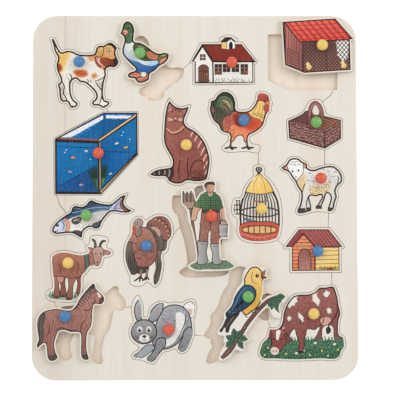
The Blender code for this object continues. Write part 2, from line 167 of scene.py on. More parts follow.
def add_softbox(name, place, watts):
    """A square area lamp that faces the board's middle."""
    data = bpy.data.lights.new(name, "AREA")
    data.shape = "SQUARE"
    data.size = SOFTBOX_SIZE
    data.energy = watts
    lamp = bpy.data.objects.new(name, data)
    lamp.location = place
    lamp.rotation_euler = (-Vector(place)).to_track_quat("-Z", "Y").to_euler()
    bpy.context.scene.collection.objects.link(lamp)


def light_world():
    """Even white light from everywhere."""
    world = bpy.data.worlds.new("studio")
    bpy.context.scene.world = world
    world.use_nodes = True
    background = world.node_tree.nodes["Background"]
    background.inputs["Color"].default_value = (1.0, 1.0, 1.0, 1.0)
    background.inputs["Strength"].default_value = WORLD_STRENGTH


# Materials


def linear(hex_colour):
    """The sRGB hex colour as linear RGBA."""
    channels = np.array([int(hex_colour[i : i + 2], 16) / 255 for i in (1, 3, 5)])
    channels = np.where(channels <= 0.04045, channels / 12.92, ((channels + 0.055) / 1.055) ** 2.4)
    return (*channels.tolist(), 1.0)


def wire(material, node, inputs):
    """Sets each input of a node, or links it to the output given."""
    for socket, value in inputs.items():
        if isinstance(value, bpy.types.NodeSocket):
            material.node_tree.links.new(value, node.inputs[socket])
        else:
            node.inputs[socket].default_value = value


def add(material, kind, inputs, output=0, **settings):
    """Adds a node with its settings and inputs, and gives one of its outputs."""
    node = material.node_tree.nodes.new("ShaderNode" + kind)
    for name, value in settings.items():
        setattr(node, name, value)
    wire(material, node, inputs)
    return node.outputs[output]


def mixed(material, share, first, second, blend="MIX"):
    """A share of the second colour mixed into, or blended onto, the first. A Mix node's colours are its inputs 6
    and 7 and its output 2."""
    return add(material, "Mix", {0: share, 6: first, 7: second}, 2, data_type="RGBA", blend_type=blend)


def remapped(material, value, low, high, least=0.0, most=1.0):
    """The value's way from low to high, as a number from least to most."""
    return add(material, "MapRange", {0: value, 1: low, 2: high, 3: least, 4: most})


def computed(material, operation, *values, **settings):
    """The result of one Math node."""
    return add(material, "Math", dict(enumerate(values)), operation=operation, **settings)


def new_material(name):
    """A material with its Principled shader and nothing else."""
    material = bpy.data.materials.new(name)
    material.use_nodes = True
    return material, material.node_tree.nodes["Principled BSDF"]


def streaks(material, width_mm, length_mm, detail, seed=0.0):
    """Noise drawn out along Y, which is the grain's way on every sheet: 0 to 1, about the sizes given."""
    place = add(material, "TexCoord", {}, "Object")
    scale = (1 / (width_mm * MM), 1 / (length_mm * MM), 1 / (width_mm * MM))
    mapped = add(material, "Mapping", {"Vector": place, "Location": (seed, seed, seed), "Scale": scale})
    noise = {"Vector": mapped, "Scale": 1.0, "Detail": detail, "Roughness": 0.55}
    return add(material, "TexNoise", noise, "Fac")


def plywood(name, face, grain, band, roughness, joint_mm=None):
    """Rotary-cut birch veneer with satin varnish: pale, with soft fibres and bands along Y and small pores. Its
    sawn edges show the plies, light long grain and darker end grain by turns, with a thin glue line between. At
    joint_mm in X a strip of redder veneer is joined on, to the left of a fine dark line."""
    material, shader = new_material(name)
    fibres = streaks(material, 2.4, 60.0, 3.0)
    bands = streaks(material, 20.0, 600.0, 2.0, seed=3.7)
    pores = streaks(material, 0.35, 3.2, 1.0, seed=9.1)
    colour = linear(face)
    for pattern, low, high, most, tint in (
        (fibres, 0.35, 0.75, 1.0, grain),
        (bands, 0.50, 0.70, 1.0, band),
        (pores, 0.72, 0.80, 0.2, "#A98C6C"),
    ):
        share = remapped(material, pattern, low, high, 0.0, most)
        colour = mixed(material, share, colour, linear(tint))

    if joint_mm is not None:
        place = add(material, "TexCoord", {}, "Object")
        across = add(material, "SeparateXYZ", {"Vector": place}, "X")
        along = add(material, "SeparateXYZ", {"Vector": place}, "Y")
        redder = remapped(material, across, (joint_mm + REDDENED_MM) * MM, joint_mm * MM)
        apart = computed(material, "SUBTRACT", across, joint_mm * MM)
        apart = computed(material, "ABSOLUTE", apart)
        line = remapped(material, apart, JOINT_WIDTH_MM * MM, 0.0)
        shown = remapped(material, along, JOINT_FADES_MM[0] * MM, JOINT_FADES_MM[1] * MM)
        line = computed(material, "MULTIPLY", line, shown)
        for share, tint in ((redder, "#F9F6F5"), (line, "#F0E9E5")):
            colour = mixed(material, share, colour, linear(tint), "MULTIPLY")

    # The plies go by turns with the height above the sheet's own underside, which the mesh carries in millimetres
    height = add(material, "Attribute", {}, "Fac", attribute_name="height")
    in_pair = computed(material, "FLOORED_MODULO", height, 2 * PLY_MM)
    crosswise = computed(material, "GREATER_THAN", in_pair, PLY_MM)
    in_ply = computed(material, "FLOORED_MODULO", height, PLY_MM)
    glue = computed(material, "LESS_THAN", in_ply, GLUE_LINE_MM)
    edge = linear("#E4D2B6")
    for share, tint in ((crosswise, "#CBAE88"), (glue, "#A08060")):
        edge = mixed(material, share, edge, linear(tint))
    normal = add(material, "NewGeometry", {}, "Normal")
    upright = add(material, "SeparateXYZ", {"Vector": normal}, "Z")
    upright = computed(material, "ABSOLUTE", upright)
    flat = remapped(material, upright, 0.45, 0.75)
    colour = mixed(material, flat, edge, colour)

    bump = add(material, "Bump", {"Strength": 0.25, "Distance": 0.06 * MM, "Height": fibres})
    wire(material, shader, {"Base Color": colour, "Normal": bump, "Roughness": roughness, "IOR": 1.5})
    return material


def print_ink():
    """Screen-printed ink over varnished birch: its colour is drawn on the faces, a little uneven in its cover, and
    the wood's fibres show faintly through it."""
    material, shader = new_material("screen_printed_ink")
    ink = add(material, "Attribute", {}, "Color", attribute_name="ink")
    place = add(material, "TexCoord", {}, "Object")
    noise = {"Vector": place, "Scale": 1 / (GRIT_MM * MM), "Detail": 3.0, "Roughness": 0.6}
    grit = add(material, "TexNoise", noise, "Fac")
    fibres = streaks(material, 1.2, 24.0, 3.0)
    thin = remapped(material, grit, 0.35, 0.75)
    darker = mixed(material, thin, (1.0, 1.0, 1.0, 1.0), (0.80, 0.79, 0.78, 1.0))
    colour = mixed(material, 0.8, ink, darker, "MULTIPLY")
    paler = remapped(material, fibres, 0.5, 0.8, 0.0, 0.06)
    colour = mixed(material, paler, colour, linear("#E6DCCB"))
    bump = add(material, "Bump", {"Strength": 0.2, "Distance": 0.05 * MM, "Height": grit})
    wire(material, shader, {"Base Color": colour, "Normal": bump})
    wire(material, shader, {"Roughness": 0.5, "IOR": 1.5, "Specular IOR Level": 0.16})
    return material


def moulded_plastic(name, colour):
    """Injection-moulded ABS, dyed through: glossy, with a faint glow where light enters the thin rim, and a
    slightly uneven skin."""
    material, shader = new_material(name)
    place = add(material, "TexCoord", {}, "Object")
    swirl = add(material, "TexNoise", {"Vector": place, "Scale": 1 / (SWIRL_MM * MM), "Detail": 2.0}, "Fac")
    dye = linear(colour)
    shade = tuple(0.86 * channel for channel in dye[:3]) + (1.0,)
    dyed = mixed(material, remapped(material, swirl, 0.35, 0.75), dye, shade)
    skin = remapped(material, swirl, 0.3, 0.7, 0.16, 0.26)
    bump = add(material, "Bump", {"Strength": 0.15, "Distance": 0.1 * MM, "Height": swirl})
    wire(material, shader, {"Base Color": dyed, "Roughness": skin, "Normal": bump, "IOR": 1.53})
    wire(material, shader, {"Subsurface Weight": 0.12, "Subsurface Scale": 1.5 * MM})
    return material


def white_floor():
    """Matt white paper. To the camera, and in gloss, it shines a little, so that it turns pure white and keeps the
    object's shadow."""
    material, shader = new_material("white_paper")
    seen = 0.0
    for ray in ("Is Camera Ray", "Is Glossy Ray", "Is Transmission Ray"):
        flag = add(material, "LightPath", {}, ray)
        seen = computed(material, "ADD", seen, flag, use_clamp=True)
    shine = computed(material, "MULTIPLY", seen, PAPER_SHINE)
    wire(material, shader, {"Emission Strength": shine, "Emission Color": (1.0, 1.0, 1.0, 1.0)})
    wire(material, shader, {"Base Color": linear("#F4F4F4"), "Roughness": 0.9})
    return material


# Lines and loops: arrays of x,y in millimetres


def read_points(text):
    """The points of a line and which of them are sharp corners, marked by !."""
    words = text.split()
    sharp = np.array([word.endswith("!") for word in words])
    return np.array([word.rstrip("!").split(",") for word in words], float), sharp


def smooth_curve(points, sharp, closed, step, most_bow=FREE_BOW_MM):
    """Points along cubic spans, between tangents that lean to the nearer neighbour's chord. A tangent that turns
    from its chord is kept short, so that a long span stays within a third of most_bow of straight."""
    ends = np.roll(points, -1, axis=0) if closed else points[1:]
    starts = points if closed else points[:-1]
    chord = ends - starts
    length = np.maximum(np.linalg.norm(chord, axis=1, keepdims=True), TINY)
    way = chord / length
    slope = way * np.roll(length, 1, axis=0) + np.roll(way, 1, axis=0) * length
    slope /= np.maximum(np.linalg.norm(slope, axis=1, keepdims=True), TINY)
    arriving = np.roll(slope, -1, axis=0)
    leaving = slope
    if not closed:
        leaving = np.vstack([way[:1], slope[1:]])
        arriving = np.vstack([slope[1:], way[-1:]])
    starts_sharp = (sharp if closed else sharp[:-1])[:, None]
    ends_sharp = (np.roll(sharp, -1) if closed else sharp[1:])[:, None]
    leaving = np.where(starts_sharp, way, leaving)
    arriving = np.where(ends_sharp, way, arriving)

    def tangent(slopes):
        bend = np.abs(way[:, :1] * slopes[:, 1:] - way[:, 1:] * slopes[:, :1])
        return slopes * np.minimum(length, most_bow / np.maximum(bend, TINY))

    counts = np.maximum(1, np.ceil(length[:, 0] / step)).astype(int)
    span = np.repeat(np.arange(len(counts)), counts)
    firsts = np.cumsum(counts) - counts
    t = ((np.arange(counts.sum()) - firsts[span]) / counts[span])[:, None]
    curve = (
        (2 * t**3 - 3 * t**2 + 1) * starts[span]
        + (t**3 - 2 * t**2 + t) * tangent(leaving)[span]
        + (3 * t**2 - 2 * t**3) * ends[span]
        + (t**3 - t**2) * tangent(arriving)[span]
    )
    return curve if closed else np.vstack([curve, points[-1:]])


def as_loop(shape):
    """The closed curve that a text of points gives, or a straight-sided loop from a list of points, both
    counter-clockwise. A loop stays as it is."""
    if isinstance(shape, np.ndarray):
        return shape
    if isinstance(shape, str):
        points, sharp = read_points(shape)
    else:
        points, sharp = np.array(shape, float), np.ones(len(shape), bool)
    return counter_clockwise(smooth_curve(points, sharp, True, PRINT_STEP_MM))


def parted(shapes):
    """The single shapes of a text that has / between them, or of anything else, which is one shape."""
    return shapes.split("/") if isinstance(shapes, str) else [shapes]


def area(loop):
    """The area inside a loop, below 0 if the loop is clockwise."""
    after = np.roll(loop, -1, axis=0)
    return float((loop[:, 0] * after[:, 1] - loop[:, 1] * after[:, 0]).sum() / 2)


def counter_clockwise(loop):
    """The loop, turned round if it was clockwise."""
    return loop if area(loop) > 0 else loop[::-1]


def mitres(loop):
    """For each point, the sideways step that moves both of its edges by one, outwards if counter-clockwise."""
    edge = np.roll(loop, -1, axis=0) - loop
    edge = edge / np.maximum(np.linalg.norm(edge, axis=1, keepdims=True), TINY)
    out = np.column_stack([edge[:, 1], -edge[:, 0]])
    out_before = np.roll(out, 1, axis=0)
    return (out + out_before) / np.maximum(1 + (out * out_before).sum(axis=1, keepdims=True), LEAST_MITRE)


def offset(loop, distance):
    """The loop moved outwards by the distance. Where it folds over itself, its winding is 0 or less."""
    return loop + distance * mitres(loop)


def unfolded_mitres(loop, distance):
    """The mitres, shorter where the loop turns so tightly that it would fold over itself at the distance."""
    steps = mitres(loop)
    ahead = np.roll(loop, -1, axis=0) - loop
    for _ in range(UNFOLDING_ROUNDS):
        moved = loop + distance * steps
        folded = (ahead * (np.roll(moved, -1, axis=0) - moved)).sum(axis=1) <= 0
        if not folded.any():
            break
        steps[folded | np.roll(folded, 1)] *= UNFOLDING_SHARE
    return steps


def winding(points, loop):
    """How often the loop goes round each point: crossings of a ray to the right, up less down."""
    turns = np.zeros(len(points), int)
    low, high = loop.min(axis=0), loop.max(axis=0)
    near = np.flatnonzero(((points >= low) & (points <= high)).all(axis=1))
    if len(near) == 0:
        return turns
    x, y = points[near, 0][:, None], points[near, 1][:, None]
    (ax, ay), (bx, by) = loop.T, np.roll(loop, -1, axis=0).T
    side = (bx - ax) * (y - ay) - (x - ax) * (by - ay)
    up = (ay <= y) & (by > y) & (side > 0)
    down = (ay > y) & (by <= y) & (side < 0)
    turns[near] = up.sum(axis=1) - down.sum(axis=1)
    return turns


def turned(points, degrees, x, y):
    """Points turned about 0,0 and then moved to x,y."""
    cos, sin = math.cos(math.radians(degrees)), math.sin(math.radians(degrees))
    return np.array(points) @ np.array([[cos, sin], [-sin, cos]]) + (x, y)


def node_loops(node):
    """The loops round a CAD sheet's top face, the outer one first, made smooth. A corner is sharp where its turn
    times the shorter side by it is over SHARP_TURN_MM."""
    copy = bmesh.new()
    copy.from_mesh(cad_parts[node].data)
    bmesh.ops.remove_doubles(copy, verts=copy.verts, dist=MERGED_WITHIN_MM * MM)
    copy.normal_update()
    onward = {}
    for face in copy.faces:
        if face.normal.z < UPWARD:
            continue
        for side in face.loops:
            if all(other.normal.z < UPWARD for other in side.edge.link_faces if other is not face):
                onward[side.vert] = side.link_loop_next.vert
    loops = []
    while onward:
        corner = next(iter(onward))
        corners = []
        while corner in onward:
            corners.append((corner.co.x / MM, corner.co.y / MM))
            corner = onward.pop(corner)
        points = np.array(corners)
        chord = np.roll(points, -1, axis=0) - points
        length = np.linalg.norm(chord, axis=1)
        heading = np.arctan2(chord[:, 1], chord[:, 0])
        turn = np.abs((heading - np.roll(heading, 1) + np.pi) % (2 * np.pi) - np.pi)
        sharp = turn * np.minimum(length, np.roll(length, 1)) > SHARP_TURN_MM
        loops.append(smooth_curve(points, sharp, True, OUTLINE_STEP_MM, SAWN_BOW_MM))
    copy.free()
    low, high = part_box(node)
    loops = [np.clip(loop, (low.x / MM, low.y / MM), (high.x / MM, high.y / MM)) for loop in loops]
    return sorted(loops, key=lambda loop: -abs(area(loop)))


# Pictures


OUTLINE = "the contour"


def between(first, second, share):
    """The colour at a share of the way from one hex colour to another."""
    channels = (1, 3, 5)
    mixed = [(1 - share) * int(first[i : i + 2], 16) + share * int(second[i : i + 2], 16) for i in channels]
    return "#" + "".join(f"{round(channel):02X}" for channel in mixed)


def jittered(region, spacing, jitter, cover):
    """The points of a square grid over a region, each moved at random by up to jitter times the spacing. Only a
    share of them is kept, which is the cover."""
    low, high = region.min(axis=0), region.max(axis=0)
    across, up = np.arange(low[0], high[0], spacing), np.arange(low[1], high[1], spacing)
    grid = np.stack(np.meshgrid(across, up, indexing="ij"), -1).reshape(-1, 2)
    grid += rng.uniform(-jitter, jitter, grid.shape) * spacing
    return grid[(winding(grid, region) > 0) & (rng.random(len(grid)) < cover)]


def paint_faces(inks, bare, corners, hit, ink):
    """Gives the faces that are hit their ink. Between two colours it is a + (b - a) t, with t along the line."""
    if not hit.any():
        return
    bare[hit] = ink is None
    if ink is None:
        return
    words = ink.split()
    if len(words) == 1:
        inks[hit] = linear(ink)[:3]
        return
    start, end = read_points(" ".join(words[1::2]))[0]
    along = end - start
    share = np.clip(((corners[hit] - start) @ along) / (along @ along), 0, 1)[..., None]
    inks[hit] = np.array(linear(words[0])[:3]) * (1 - share) + np.array(linear(words[2])[:3]) * share


class Picture:
    """Flat shapes one over another within a field, which is the piece's outline less a margin.

    A text of points may hold several shapes or lines, with / between them. An ink is a hex colour, None for bare
    wood, or a text of two hex colours, each with its point, that turn into one another between the points."""

    def __init__(self, outline, ground=None, line=None, margin=MARGIN_MM, contour=CONTOUR_MM):
        self.line_ink = line
        self.outlined = False
        self.field = offset(outline, -margin)
        self.inner = offset(outline, -margin - contour) if contour and line else None
        self.shapes = [(self.field, ground, None)]
        self.clip = None

    def outline(self):
        """Draws the contour now. What comes later may cover it, and if this isn't called it comes last."""
        self.shapes.append((self.field, self.line_ink, OUTLINE))
        self.outlined = True

    def fill(self, shape, ink, clip=None):
        """An area of ink."""
        for part in parted(shape):
            self.shapes.append((as_loop(part), ink, clip if clip is not None else self.clip))

    def wash(self, shape, pale, deep, depth=2.4, steps=5):
        """A fill that deepens in steps from its edge inwards, as watercolour does."""
        loop = as_loop(shape)
        for share in np.linspace(0, 1, steps):
            self.fill(offset(loop, -depth * share), between(pale, deep, share), loop)

    def frayed(self, shape, ink, hair, length=1.8):
        """A patch in a coat: hairs of the colour round it reach in over its edge."""
        for loop in map(as_loop, parted(shape)):
            self.fill(loop, ink)
            outer, inner = offset(loop, 0.25), offset(loop, -length)
            tips = outer + (np.roll(inner, -2, axis=0) - outer) * rng.uniform(0.15, 1.0, (len(loop), 1))
            for start, end, tip in zip(outer, np.roll(outer, -1, axis=0), tips):
                self.shapes.append((np.array([start, end, tip]), hair, self.clip))

    def patch(self, shape, ink, width=0.5, line=None):
        """A fill with a line round it."""
        for loop in map(as_loop, parted(shape)):
            self.fill(offset(loop, width), line or self.line_ink)
            self.fill(loop, ink)

    def hole(self, shape, width=0.8):
        """Bare wood between legs and the like, with the contour's line round it."""
        self.patch(shape, None, width)

    def line(self, path, width, ink=None, ends=0.25, at=(0, 0)):
        """A smooth line round the point at, of the width given in its middle. Its ends taper to a share of that."""
        for part in parted(path):
            if isinstance(part, str):
                points, sharp = read_points(part)
            else:
                points, sharp = np.array(part, float), np.zeros(len(part), bool)
            self.ribbon(smooth_curve(points + at, sharp, False, PRINT_STEP_MM), width, ink, ends)

    def ribbon(self, middle, width, ink, ends):
        """Both sides of a line, moved from its middle by width / 2 * (ends + (1 - ends) * sin(pi s) ** 0.5)."""
        way = np.gradient(middle, axis=0)
        way /= np.maximum(np.linalg.norm(way, axis=1, keepdims=True), TINY)
        share = np.linspace(0, 1, len(middle))[:, None]
        half = (width + INK_SPREAD_MM) / 2 * (ends + (1 - ends) * np.sqrt(np.abs(np.sin(np.pi * share))))
        side = np.column_stack([way[:, 1], -way[:, 0]]) * half
        self.shapes.append((np.vstack([middle + side, (middle - side)[::-1]]), ink or self.line_ink, self.clip))

    def ring(self, x, y, radius, ink, squash=1.0, turn=0.0, sides=14):
        """A round or oval spot: r (cos a, squash sin a), turned."""
        angle = np.linspace(0, 2 * np.pi, sides, endpoint=False)
        across, up = radius * np.cos(angle), radius * squash * np.sin(angle)
        cos, sin = math.cos(math.radians(turn)), math.sin(math.radians(turn))
        self.fill(np.column_stack([x + across * cos - up * sin, y + across * sin + up * cos]), ink)

    def strokes(self, region, ink, angle, spacing=1.6, length=2.6, width=0.28, spread=14.0, cover=0.8):
        """Short pen strokes over a region, all at about the same angle. Each is a slim diamond."""
        region = as_loop(region)
        grid = jittered(region, spacing, 0.45, cover)
        turns = np.radians(angle + rng.uniform(-spread, spread, len(grid)))
        reach = length / 2 * rng.uniform(0.6, 1.15, len(grid))
        way = np.column_stack([np.cos(turns), np.sin(turns)])
        side = np.column_stack([-way[:, 1], way[:, 0]]) * (width + INK_SPREAD_MM) / 2
        for middle, along, across in zip(grid, way * reach[:, None], side):
            stroke = np.array([middle - along, middle - across, middle + along, middle + across])
            self.shapes.append((stroke, ink, region))

    def dots(self, region, ink, spacing=1.8, radius=0.3, cover=0.8):
        """Pen dots over a region. Each is a small pentagon."""
        region = as_loop(region)
        angle = np.linspace(0, 2 * np.pi, 5, endpoint=False)
        spot = radius * np.column_stack([np.cos(angle), np.sin(angle)])
        for middle in jittered(region, spacing, 0.4, cover):
            self.shapes.append((middle + spot, ink, region))

    def rows(self, region, ink, angle, spacing, width, wobble=0.0):
        """Long even lines across a region, such as boards or tiles, drawn by hand if wobble isn't 0. Each is walked
        in short steps, kept where it is within the region and the field, and drawn with bends."""
        region = as_loop(region)
        middle = (region.min(axis=0) + region.max(axis=0)) / 2
        reach = np.linalg.norm(region - middle, axis=1).max()
        way = np.array([math.cos(math.radians(angle)), math.sin(math.radians(angle))])
        side = np.array([-way[1], way[0]])
        steps = np.arange(-reach, reach, WALK_MM)
        held = self.clip
        self.clip = region
        for away in np.arange(-reach, reach, spacing):
            across = middle + side * away
            walk = across + way * steps[:, None]
            inside = (winding(walk, region) > 0) & (winding(walk, self.field) > 0)
            change = np.flatnonzero(np.diff(np.concatenate([[False], inside, [False]]).astype(int)))
            for first, last in change.reshape(-1, 2):
                start, end = steps[first] - OVERRUN_MM, steps[last - 1] + OVERRUN_MM
                count = max(2, int((end - start) / BENDS_MM) + 1)
                bends = np.linspace(start, end, count)[1:-1] if wobble else []
                along = np.concatenate([[start, start + LAST_BEND_MM], bends, [end - LAST_BEND_MM, end]])
                along = np.sort(np.clip(along, start, end))[:, None]
                sway = rng.uniform(-wobble, wobble, (len(along), 1)) if wobble else 0.0
                self.ribbon(across + way * along + side * sway, width, ink, 1.0)
        self.clip = held

    def painted(self, cap_loops):
        """The cap's points, its triangles, their inks at each corner (linear RGB), which are bare, and the points
        of its rings.

        The edges of all shapes cut the cap into triangles, and each triangle takes the ink of the last shape round
        its middle. Triangles in the first ring and in no other one are on the cap."""
        points, edges, rings = [], [], []
        holes = [offset(loop, -CLEAR_OF_HOLE_MM) for loop in cap_loops[1:]]

        def cut(loop, within):
            after = np.roll(np.arange(len(loop)), -1)
            kept = np.ones(len(loop), bool)
            if within is not None:
                inside = winding(loop, within) > 0
                for hole in holes:
                    inside &= winding(loop, hole) == 0
                kept = inside & inside[after]
            first = sum(len(part) for part in points)
            points.append(loop)
            edges.append(np.column_stack([np.arange(len(loop)), after])[kept] + first)

        ring_count = 0
        for loop in cap_loops:
            cut(loop, None)
            ring = list(range(ring_count, ring_count + len(loop)))
            rings.append(ring if area(loop) > 0 else ring[::-1])
            ring_count += len(loop)
        cut(self.field, cap_loops[0])
        if self.inner is not None:
            cut(self.inner, cap_loops[0])
            if not self.outlined:
                self.outline()
        for loop, _, clip in self.shapes[1:]:
            if clip is not OUTLINE:
                cut(loop, self.field)
        joins = np.vstack(edges)
        used = np.zeros(sum(len(part) for part in points), bool)
        used[:ring_count] = True
        used[joins.ravel()] = True
        number = np.cumsum(used) - 1
        corners = [tuple(point) for point in np.vstack(points)[used].tolist()]
        cut_points, _, triangles, sources, _, rings_round = delaunay_2d_cdt(
            corners, number[joins].tolist(), rings, 0, MERGED_WITHIN_MM, True
        )
        cut_points = np.array([tuple(point) for point in cut_points])
        triangles = np.array(triangles)[[numbers == [0] for numbers in rings_round]]
        on_ring = {source: i for i, merged in enumerate(sources) for source in merged if source < ring_count}
        corners = cut_points[triangles]
        middles = corners.mean(axis=1)
        inks = np.zeros((len(triangles), 3, 3), np.float32)
        bare = np.ones(len(triangles), bool)
        in_field = winding(middles, self.field) > 0
        clips = {}
        for loop, ink, clip in self.shapes:
            if clip is OUTLINE:
                paint_faces(inks, bare, corners, in_field & (winding(middles, self.inner) <= 0), ink)
                continue
            hit = in_field & (winding(middles, loop) != 0)
            if clip is not None:
                if id(clip) not in clips:
                    clips[id(clip)] = winding(middles, clip) != 0
                hit &= clips[id(clip)]
            paint_faces(inks, bare, corners, hit, ink)
        return cut_points, triangles, inks, bare, [on_ring[i] for i in range(ring_count)]


PICTURES = {}


def picture(ground, line, margin=MARGIN_MM, contour=CONTOUR_MM):
    """Keeps the function that follows, under its own name, as the drawing of a picture on this ground."""

    def keep(draw):
        PICTURES[draw.__name__] = draw, (ground, line, margin, contour)
        return draw

    return keep


# Sheets and pieces


def replace_node(name, mesh, node, body):
    """Puts a piece of the scene in the place of a CAD node."""
    piece = bpy.data.objects.new(name, mesh)
    bpy.context.scene.collection.objects.link(piece)
    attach(piece, body)
    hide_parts(node)


def quads_between(numbers):
    """The faces between the rows of a grid of point numbers, each row closed to a ring."""
    after = np.roll(numbers, -1, axis=1)
    return np.stack([numbers[:-1], numbers[1:], after[1:], after[:-1]], axis=-1).reshape(-1, 4)


def sheet_mesh(name, loops, bottom, thickness, materials, picture):
    """A sawn sheet whose edges are rounded over by hand sanding.

    The wall is a grid: the loop moved by u(k) and z(k), where k goes round a quarter circle at the top, straight
    down, and round a quarter circle at the bottom. The picture's faces close it at the top."""
    quarter = np.linspace(0, np.pi / 2, EDGE_ROWS)
    sideways = EDGE_ROUNDING_MM * (np.sin(quarter) - 1)
    drop = EDGE_ROUNDING_MM * (1 - np.cos(quarter))
    sideways = np.concatenate([sideways, sideways[::-1]])
    height = np.concatenate([thickness - drop, drop[::-1]])
    rows = len(height) - 1

    steps = [unfolded_mitres(loop, -EDGE_ROUNDING_MM) for loop in loops]
    cap_loops = [loop - EDGE_ROUNDING_MM * step for loop, step in zip(loops, steps)]
    cap_points, cap, inks, bare, order = picture.painted(cap_loops)
    vertices = [np.column_stack([cap_points, np.full(len(cap_points), thickness)])]
    quads = []
    under_order = []
    count = len(cap_points)
    first_on_ring = 0
    for loop, step in zip(loops, steps):
        size = len(loop)
        grid = np.zeros((rows, size, 3))
        grid[..., :2] = loop + sideways[1:, None, None] * step
        grid[..., 2] = height[1:, None]
        ring = np.array(order[first_on_ring : first_on_ring + size])
        numbers = np.vstack([ring, count + np.arange(rows * size).reshape(rows, size)])
        quads.append(quads_between(numbers))
        vertices.append(grid.reshape(-1, 3))
        under_order.append(numbers[-1])
        count += rows * size
        first_on_ring += size
    under_points, under, _, _, under_ring = Picture(loops[0]).painted(cap_loops)
    number = np.zeros(len(under_points), int)
    extra = np.setdiff1d(np.arange(len(under_points)), under_ring)
    number[under_ring] = np.concatenate(under_order)
    number[extra] = count + np.arange(len(extra))
    vertices.append(np.column_stack([under_points[extra], np.zeros(len(extra))]))

    triangles = np.vstack([cap, number[under][:, ::-1]])
    points = np.vstack(vertices)
    heights = points[:, 2].astype(np.float32)
    points[:, 2] += bottom
    mesh = bpy.data.meshes.new(name)
    mesh.from_pydata((points * MM).tolist(), [], triangles.tolist() + np.vstack(quads).tolist())
    for material in materials:
        mesh.materials.append(material)
    slots = np.zeros(len(mesh.polygons), np.int32)
    slots[: len(cap)] = np.where(bare, 0, 1)
    mesh.polygons.foreach_set("material_index", slots)
    smooth = np.zeros(len(mesh.polygons), bool)
    smooth[len(triangles) :] = True
    mesh.polygons.foreach_set("use_smooth", smooth)
    mesh.attributes.new("height", "FLOAT", "POINT").data.foreach_set("value", heights)
    if len(materials) > 1:
        colours = np.ones((len(mesh.loops), 4), np.float32)
        colours[: 3 * len(cap), :3] = inks.reshape(-1, 3)
        mesh.color_attributes.new("ink", "FLOAT_COLOR", "CORNER").data.foreach_set("color", colours.ravel())
    mesh.validate()
    return mesh


def add_sheet(name, node, body, materials):
    """A bare sheet in the place of a CAD one. Its openings are narrower all round, because the photograph's gaps
    are thinner than the play that the solids need."""
    low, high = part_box(node)
    outer, *openings = node_loops(node)
    openings = [loop + NARROWED_MM * unfolded_mitres(loop, NARROWED_MM) for loop in openings]
    bare = Picture(outer)
    thickness = (high.z - low.z) / MM
    mesh = sheet_mesh(name, [outer, *openings], low.z / MM, thickness, materials, bare)
    replace_node(name, mesh, node, body)


def add_piece(name, node, body, materials, draw, looks, centre):
    """A printed piece in the place of a CAD one. It is larger all round, which narrows the gaps from their other
    side, and is drawn with its knob's centre at 0,0."""
    low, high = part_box(node)
    outer, *holes = [loop - centre / MM for loop in node_loops(node)]
    art = Picture(outer, *looks)
    draw(art)
    grown = outer + GROWN_MM * unfolded_mitres(outer, GROWN_MM)
    thickness = (high.z - low.z) / MM
    mesh = sheet_mesh(name, [grown, *holes], low.z / MM, thickness, materials, art)
    mesh.transform(Matrix.Translation((*centre, 0)))
    replace_node(name, mesh, node, body)


# Knobs


def centre_of(node):
    """The middle of a node's box, seen from above."""
    low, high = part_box(node)
    return np.array([(low.x + high.x) / 2, (low.y + high.y) / 2])


def knob_mesh(name, centre, face_height, material):
    """The knob's profile (r, z) turned about its own axis: (r cos a, r sin a, z)."""
    profile = smooth_curve(*read_points(KNOB_PROFILE_MM), False, KNOB_STEP_MM)
    middle = profile[1:-1]
    turn = np.linspace(0, 2 * np.pi, KNOB_SIDES, endpoint=False)
    grid = np.zeros((len(middle), KNOB_SIDES, 3))
    grid[..., 0] = np.maximum(middle[:, :1], 0.0) * np.cos(turn)
    grid[..., 1] = np.maximum(middle[:, :1], 0.0) * np.sin(turn)
    grid[..., 2] = middle[:, 1:]
    ends = np.array([(0, 0, profile[0, 1]), (0, 0, profile[-1, 1])])
    points = np.vstack([grid.reshape(-1, 3), ends]) * MM + (*centre, face_height)
    numbers = np.arange(len(middle) * KNOB_SIDES).reshape(len(middle), KNOB_SIDES)
    after = np.roll(numbers, -1, axis=1)
    top, tip = len(points) - 2, len(points) - 1
    fan = np.column_stack([np.full(KNOB_SIDES, top), numbers[0], after[0]])
    end = np.column_stack([np.full(KNOB_SIDES, tip), after[-1], numbers[-1]])
    mesh = bpy.data.meshes.new(name)
    mesh.from_pydata(points.tolist(), [], quads_between(numbers).tolist() + fan.tolist() + end.tolist())
    mesh.materials.append(material)
    mesh.polygons.foreach_set("use_smooth", np.ones(len(mesh.polygons), bool))
    return mesh


def add_knob(name, node, body, face_height, plastics):
    """A smooth knob in the place of a CAD one, in its colour."""
    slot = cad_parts[node].data.materials[0].name.split(".")[0]
    mesh = knob_mesh(name, centre_of(node), face_height, plastics[slot])
    replace_node(name, mesh, node, body)


# One function for each piece's picture, which is drawn round the knob. Their order is that of the random draws


